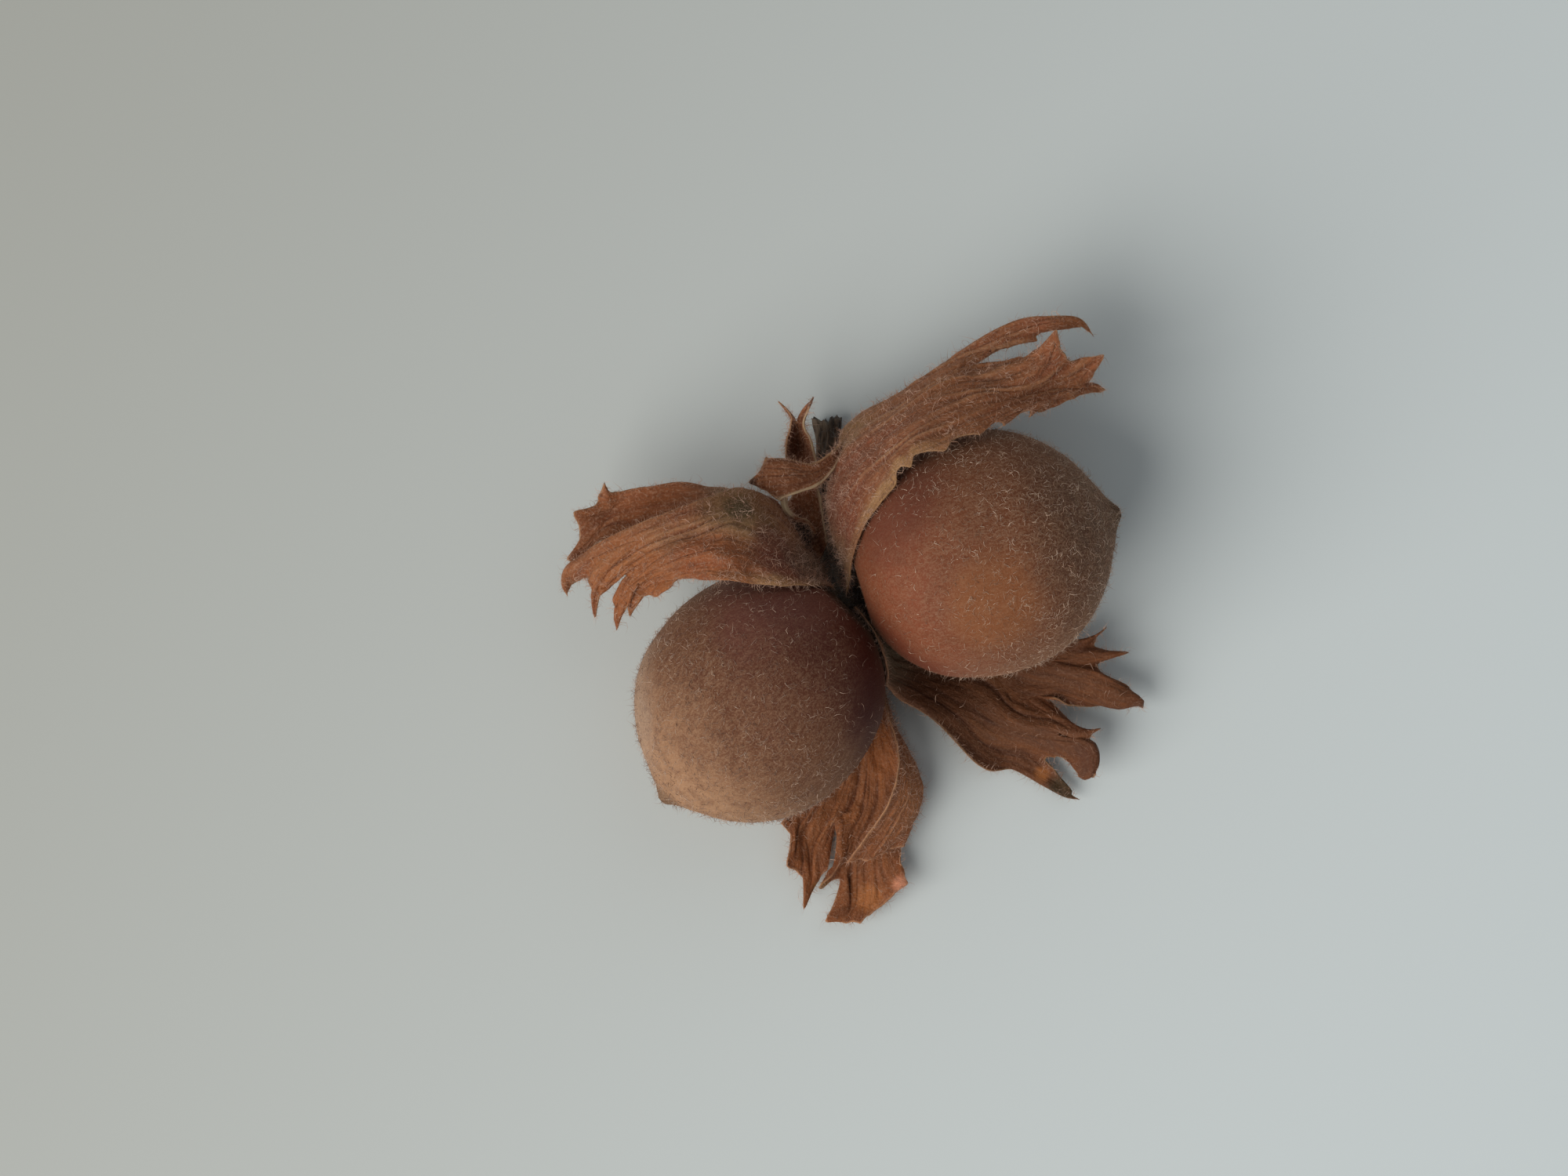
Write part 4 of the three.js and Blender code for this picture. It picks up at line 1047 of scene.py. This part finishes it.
# the small husk's inner blade: its first rail reaches out over a gap beside the left upper husk, partly
# dark wool and partly deep shade, which it carries as painted shadow
smallInner = {
    "look": {"ridges": 3, "width": 3, "pleat": 0.06, "wrinkle": 0.15, "columnsPerVein": 16,
             "rows": 60, "curlSpread": 0.2},
    "rails": [
        [[-2.7, 3.8, 3.8], [-3.9, 5.0, 4.0], [-4.9, 6.3, 4.4], [-5.4, 8.2, 5.2]],
        [[-2.0, 5.2, 3.7], [-2.6, 7.0, 4.2], [-3.4, 8.3, 4.6], [-4.2, 9.6, 5.2]],
        [[-1.8, 5.8, 4.0], [-2.1, 7.9, 4.5], [-2.3, 9.2, 4.8], [-2.8, 10.6, 5.0]],
    ],
    "veins": [[0.0], [0.5], [1.0]],
}

leafPieces = {
    "huskRightUpper": ("husk_right_upper", "leaf_outer", [rightUpper], huskOuter, 2),
    "huskLeftUpper": ("husk_left_upper", "leaf_outer", [leftUpper, leftUpperBack], huskOuter, 17),
    "huskRightLower": ("husk_right_lower", "leaf_inner", [rightLower], shadedHuskInner, 29),
    "huskLeftLower": ("husk_left_lower", "leaf_inner", [leftLower, leftLowerFold], huskRibbed, 41),
    "smallHuskUpright": ("small_husk_upright", "leaf_outer", [smallUpright], huskSmall, 53),
    "smallHuskFlap": ("small_husk_flap", "leaf_outer", [smallFlap, smallStrand], huskSmall, 61),
    "smallHuskInner": ("small_husk_inner", "leaf_inner", [smallInner], huskSmall, 71),
}
leafObjects = {name: buildLeaf(name, *row) for name, row in leafPieces.items()}
print("leaves ready")


def tubeFaces(rings, sides):
    # quads between rings, and a fan at each end round its hub; the hubs are the last two points
    at = np.arange((rings + 1) * sides).reshape(rings + 1, sides)
    after = np.roll(at, -1, axis=1)
    faces = np.stack([at[:-1], after[:-1], after[1:], at[1:]], -1).reshape(-1, 4).tolist()
    for step in range(sides):
        faces.append([at.size, int(after[0, step]), int(at[0, step])])
        faces.append([at.size + 1, int(at[-1, step]), int(after[-1, step])])
    return faces


def buildNut(name, nodeName, nut, material):
    rings, sides = shell["rings"], shell["sides"]
    line = outlineCurve(rings)
    axis = nutAxis(nut)
    side = unit(np.cross([0, 0, 1.0], axis))
    up = np.cross(axis, side)
    angles = np.arange(sides) / sides * 2 * np.pi
    radial = (np.cos(angles)[:, None] * side * nut["slim"]
              + np.sin(angles)[:, None] * up * nut["tall"])
    along = line[:, 1] / shell["length"]
    sharpen = smooth(along, shell["beakFrom"], 1)
    radius = line[:, 0] * (1 - shell["beakSharp"] * sharpen ** 3)
    reach = line[:, 1] - shell["length"] / 2 + shell["beakLength"] * sharpen ** 2
    reach = np.where(reach < 0, reach * nut["baseReach"], reach)
    middle = nutMiddle(nut) + [*nut["move"], -shell["drop"]]
    verts = middle + (reach[:, None] * axis)[:, None] + radius[:, None, None] * radial[None]
    body = np.sin(np.pi * np.clip(along, 0, 1))[:, None]
    dent = noiseOf(verts / shell["dentSize"], nut["seed"], 2) * shell["dent"]
    ribs = np.cos(angles * shell["ribCount"])[None] * shell["rib"]
    ribs = ribs * (0.5 + noiseOf(verts / shell["ribSize"], nut["seed"] + 4, 1))
    relief = (dent + ribs - shell["dent"] * shell["dentSink"]) * body
    verts = verts + radial[None] * relief[..., None]
    ends = [middle + axis * reach[0], middle + axis * (reach[-1] + shell["beakEnd"])]
    flat = np.vstack([verts.reshape(-1, 3), ends])
    flat[:, 2] = np.maximum(flat[:, 2], 0)

    share = np.concatenate([np.repeat(along, sides), [0, 1]])
    turn = np.stack([np.cos(angles), np.zeros(sides), np.sin(angles)], -1)
    wide = np.maximum(radius, shell["grainLeast"]) / shell["radius"]
    grain = np.vstack([np.tile(turn, (rings + 1, 1)) * np.repeat(wide, sides)[:, None],
                       np.zeros((2, 3))])
    grain[:, 1] = share * shell["length"]
    piece = meshObject(name, (flat + clusterShift) * mm, tubeFaces(rings, sides),
                       (("along", share), ("shellPlace", grain)))
    joinFrame(piece, material, nodeName)
    return piece, share, flat


shellTints = {
    "right": {
        "base": colour(137, 72, 45), "middle": colour(121, 70, 45), "tip": colour(84, 62, 50),
        "streak": colour(112, 64, 40), "mottle": colour(150, 100, 66), "beak": colour(60, 40, 28),
        "down": colour(184, 148, 118), "downShare": 0.45, "sheen": 0.5, "bare": (1.5, 1.5, 9.0),
        "spots": [
            ((3.4, -1.0, 8.0), 6.0, colour(112, 40, 24), 0.7),
            ((3.0, 8.5, 13.0), 5.5, colour(104, 54, 42), 0.6),
            # a golden patch on top of the shell, partly its own tone and partly painted highlight where
            # the light falls most
            ((9.0, 1.0, 17.0), 4.5, colour(158, 98, 58), 0.5),
        ],
    },
    "left": {
        # the pale tip tone is partly the shell's downy tip and partly painted sheen on the side facing
        # the window
        "base": colour(84, 36, 26), "middle": colour(112, 70, 48), "tip": colour(180, 136, 102),
        "streak": colour(92, 50, 36), "mottle": colour(136, 90, 62), "beak": colour(90, 66, 48),
        "down": colour(190, 152, 120), "downShare": 0.42, "sheen": 0.3, "bare": (1.6, -4.8, 9.5),
        "spots": [
            # a dark red stain of the shell, darkened further as painted shade on the side turned away
            # from the window
            ((1.4, -4.6, 9.0), 8.4, colour(64, 8, 3), 1.0),
            ((-6.4, 1.2, 13.5), 6.0, colour(124, 74, 64), 0.5),
            # painted sheen: a pale patch on the left limb, where the window light grazes the down
            ((-15.6, -6.0, 9.0), 6.0, colour(196, 170, 148), 0.4),
        ],
    },
}
shellSlots = {"right": "shell", "left": "shell_dark"}
nutPieces = {}
for which, slotName in shellSlots.items():
    shellSkin = shellMaterial(f"hazelShell{which.title()}", shellTints[which])
    nutPieces[which] = buildNut(f"nut{which.title()}", f"nut_{which}", nuts[which],
                                shellSkin)

stalk = {
    "path": [[-1.8, 14.9, 1.3], [-1.7, 13.6, 1.1], [-1.9, 12.1, 0.9], [-2.1, 9.3, 0.9],
             [-1.9, 6.1, 1.8], [-1.0, 3.4, 3.8], [-0.3, 1.9, 5.6], [0.4, 0.7, 7.0]],
    "radii": [1.0, 0.9, 0.7, 0.6, 0.75, 1.1, 1.45, 1.2],
    "rings": 150, "sides": 48, "rough": 0.16, "flutes": 5, "flute": 0.1,
    "roughRound": 1.6, "roughAlong": 0.25,    # how fine the rough bark is, round and along
    "splinters": 3, "splinterLength": 0.5, "tearReach": 0.5, "tornReach": 0.6,
    "hollow": 0.35, "knobEnd": 0.2, "lowest": 0.03,
}
bark = {
    "grain": (3.2, 0.5, 3.2), "patchCount": 700,
    "dark": colour(46, 36, 28), "light": colour(112, 92, 74), "patch": colour(84, 72, 60),
    "torn": colour(120, 104, 88),
}


def fixNormals(piece):
    work = bmesh.new()
    work.from_mesh(piece.data)
    bmesh.ops.recalc_face_normals(work, faces=work.faces)
    work.to_mesh(piece.data)
    work.free()


def buildStalk():
    rings, sides = stalk["rings"], stalk["sides"]
    t = np.linspace(0, 1, rings + 1)
    line = centripetal(stalk["path"], t)
    radii = np.interp(t, np.linspace(0, 1, len(stalk["radii"])), stalk["radii"])
    forward = unit(np.gradient(line, axis=0))
    side = unit(np.cross(forward, [0.2, 0.3, 1.0]))
    up = np.cross(side, forward)
    angles = np.arange(sides) / sides * 2 * np.pi
    level, upright = np.cos(angles), np.sin(angles)
    radial = level[None, :, None] * side[:, None] + upright[None, :, None] * up[:, None]
    run = np.concatenate([[0], np.cumsum(np.linalg.norm(np.diff(line, axis=0), axis=1))])
    grid = np.stack(np.broadcast_arrays(level[None] * stalk["roughRound"],
                                        upright[None] * stalk["roughRound"],
                                        run[:, None] * stalk["roughAlong"]), -1)
    rough = noiseOf(grid, 5, 3)
    flute = np.cos(angles * stalk["flutes"])[None] * stalk["flute"]
    size = radii[:, None] * (1 + rough * stalk["rough"] * 2 + flute)
    verts = line[:, None] + radial * size[..., None]
    # the torn end: splinters of different length
    around = np.stack([level * stalk["splinters"], upright * stalk["splinters"], angles * 0], -1)
    splinter = noiseOf(around, 9, 2)
    tear = np.exp(-run / stalk["tearReach"])[:, None]
    cut = splinter[None] * stalk["splinterLength"] * tear
    verts = verts - forward[:, None] * cut[..., None]
    ends = [line[0] + forward[0] * stalk["hollow"], line[-1] + forward[-1] * stalk["knobEnd"]]
    flat = np.vstack([verts.reshape(-1, 3), ends])
    flat[:, 2] = np.maximum(flat[:, 2], stalk["lowest"])

    barkPlace = np.stack([np.tile(level, rings + 1), np.repeat(run, sides),
                          np.tile(upright, rings + 1)], -1)
    torn = np.repeat(np.exp(-run / stalk["tornReach"]), sides)
    piece = meshObject("stalk", (flat + clusterShift) * mm, tubeFaces(rings, sides),
                       (("barkPlace", np.vstack([barkPlace, np.zeros((2, 3))])),
                        ("torn", np.concatenate([torn, [1, 0]]))))
    fixNormals(piece)
    joinFrame(piece, barkMaterial("driedBark", bark), "stalk")
    return piece, flat


stalkPiece, stalkPoints = buildStalk()

hairTrees = {2: hairTree("shortHairs", 2), 3: hairTree("curledHairs", 3)}
downHairs = {"right": hairMaterial("shellDown", colour(224, 196, 172), colour(158, 120, 94)),
             "left": hairMaterial("darkShellDown", colour(206, 178, 156), colour(128, 92, 74))}
huskHair = hairMaterial("huskHair", colour(216, 178, 154), colour(160, 112, 84))
woolHair = hairMaterial("stalkWool", colour(150, 150, 148), colour(96, 90, 84))

# density is in hairs to a square mm, length and width in mm, lean in radians
shellDown = {
    "segments": 3, "density": 12.0, "length": 0.46, "width": 0.014, "curl": 1.2,
    "lean": 1.25, "leanSpread": 0.22, "spread": 0.6, "seed": 7,
    "thin": 0.4, "thinFrom": (0.15, 0.6),     # thinner towards the base
    "bareShare": 0.25, "bareReach": (4.0, 11.0), "above": 0.6,
}
for which, (piece, share, points) in nutPieces.items():
    thin, bareShare = shellDown["thin"], shellDown["bareShare"]
    grow = thin + (1 - thin) * smooth(share, *shellDown["thinFrom"])
    grow = grow * (points[:, 2] > shellDown["above"])
    shine = np.linalg.norm(points - shellTints[which]["bare"], axis=1)
    grow = grow * (bareShare + (1 - bareShare) * smooth(shine, *shellDown["bareReach"]))
    growHairs(f"nutDown{which.title()}", piece, grow,
              {**shellDown, "seed": shellDown["seed"] + len(which)}, downHairs[which])

huskDown = {
    "segments": 3, "density": 26.0, "length": 0.55, "width": 0.014, "curl": 1.9,
    "lean": 1.2, "leanSpread": 0.3, "spread": 0.6, "seed": 21,
    "least": 0.35, "footReach": 9, "innerShare": 0.05,
}
huskFringe = {
    "segments": 2, "density": 34.0, "length": 0.42, "width": 0.011, "curl": 0.9,
    "lean": 0.7, "leanSpread": 0.6, "spread": 0.5, "seed": 33, "rimWide": 0.25,
}


def fact(piece, name):
    layer = piece.data.attributes[name]
    values = np.empty(len(layer.data), np.float32)
    layer.data.foreach_get("value", values)
    return values


for name, piece in leafObjects.items():
    slotName = leafPieces[name][1]
    inner, foot, margin = (fact(piece, label) for label in ("inner", "foot", "margin"))
    least = huskDown["least"]
    outerShare = (1 - inner) * (least + (1 - least) * np.exp(-foot / huskDown["footReach"]))
    grow = outerShare + inner * huskDown["innerShare"]
    growHairs(name + "Hair", piece, grow,
              {**huskDown, "seed": huskDown["seed"] + len(name)}, huskHair)
    growHairs(name + "Fringe", piece, margin < huskFringe["rimWide"],
              {**huskFringe, "seed": huskFringe["seed"] + len(name)}, huskHair)

stalkWool = {
    "segments": 3, "density": 9.0, "length": 0.6, "width": 0.009, "curl": 1.3,
    "lean": 0.9, "leanSpread": 0.6, "spread": 0.5, "seed": 55,
    "low": 0.6, "more": 2.4, "moreFrom": (2.0, 5.0),  # thicker up on the knob
}
woolShare = stalkWool["low"] + stalkWool["more"] * smooth(stalkPoints[:, 2], *stalkWool["moreFrom"])
growHairs("stalkWool", stalkPiece, woolShare, stalkWool, woolHair)
print("hairs ready")


setting = {
    # floor and lights in metres, cameraAt in mm, lens and sensor in mm of the camera itself
    # the two floor tones are painted shade on the far left and painted light on the near right
    "floor": 0.6, "floorShadedTone": colour(182, 183, 175), "floorLitTone": colour(233, 242, 243),
    "floorTurn": 0.4, "floorShade": (-0.115, 0.09), "floorRough": 0.7,
    "cameraAt": (-5.571, 2.608, 250.0), "lens": 76.7, "sensor": 36.0, "nearest": 0.01,
    "lights": {
        "windowLight": ((-0.43, -0.3, 0.46), 0.7, 4.2, (1.0, 0.97, 0.93)),
        "roomFill": ((0.3, 0.5, 0.6), 0.7, 0.4, (0.9, 0.95, 1.0)),
    },
    "sky": (0.86, 0.9, 0.94, 1.0), "skyPower": 0.235,
}


def softLight(name, at, size, power, tone):
    light = bpy.data.lights.new(name, "AREA")
    light.shape = "DISK"
    light.size = size
    light.energy = power
    light.color = tone
    lamp = bpy.data.objects.new(name, light)
    lamp.location = at
    lamp.rotation_euler = (-Vector(at)).to_track_quat("-Z", "Y").to_euler()
    bpy.context.scene.collection.objects.link(lamp)


def floorMaterial():
    # pale paper with painted light and shade: a little darker towards its far left side, lighter towards
    # its near right
    material, tree = shaderTree("palePaper")
    axes = node(tree, "ShaderNodeSeparateXYZ", {}, {0: objectPlace(tree)}).outputs
    turned = maths(tree, "MULTIPLY", axes["Y"], setting["floorTurn"])
    shade = rangeOf(tree, maths(tree, "SUBTRACT", axes["X"], turned), *setting["floorShade"])
    base = mixColour(tree, shade, setting["floorShadedTone"], setting["floorLitTone"])
    finishShader(tree, base, setting["floorRough"], None, {"Specular IOR Level": 0.3})
    return material


def buildSetting():
    half = setting["floor"] / 2
    corners = [(-half, -half, 0), (half, -half, 0), (half, half, 0), (-half, half, 0)]
    floor = meshObject("floor", corners, [(0, 1, 2, 3)], (), False)
    floor.data.materials.append(floorMaterial())
    for name, light in setting["lights"].items():
        softLight(name, *light)
    world = bpy.data.worlds.new("paleRoom")
    world.use_nodes = True
    back = world.node_tree.nodes["Background"]
    back.inputs["Color"].default_value = setting["sky"]
    back.inputs["Strength"].default_value = setting["skyPower"]
    bpy.context.scene.world = world
    lens = bpy.data.cameras.new("camera")
    lens.lens = setting["lens"]
    lens.sensor_width = setting["sensor"]
    lens.clip_start = setting["nearest"]
    camera = bpy.data.objects.new("camera", lens)
    camera.location = [value * mm for value in setting["cameraAt"]]
    bpy.context.scene.collection.objects.link(camera)
    bpy.context.scene.camera = camera
    bpy.context.scene.view_settings.view_transform = "Standard"
    print("floor, lights and camera ready")


buildSetting()
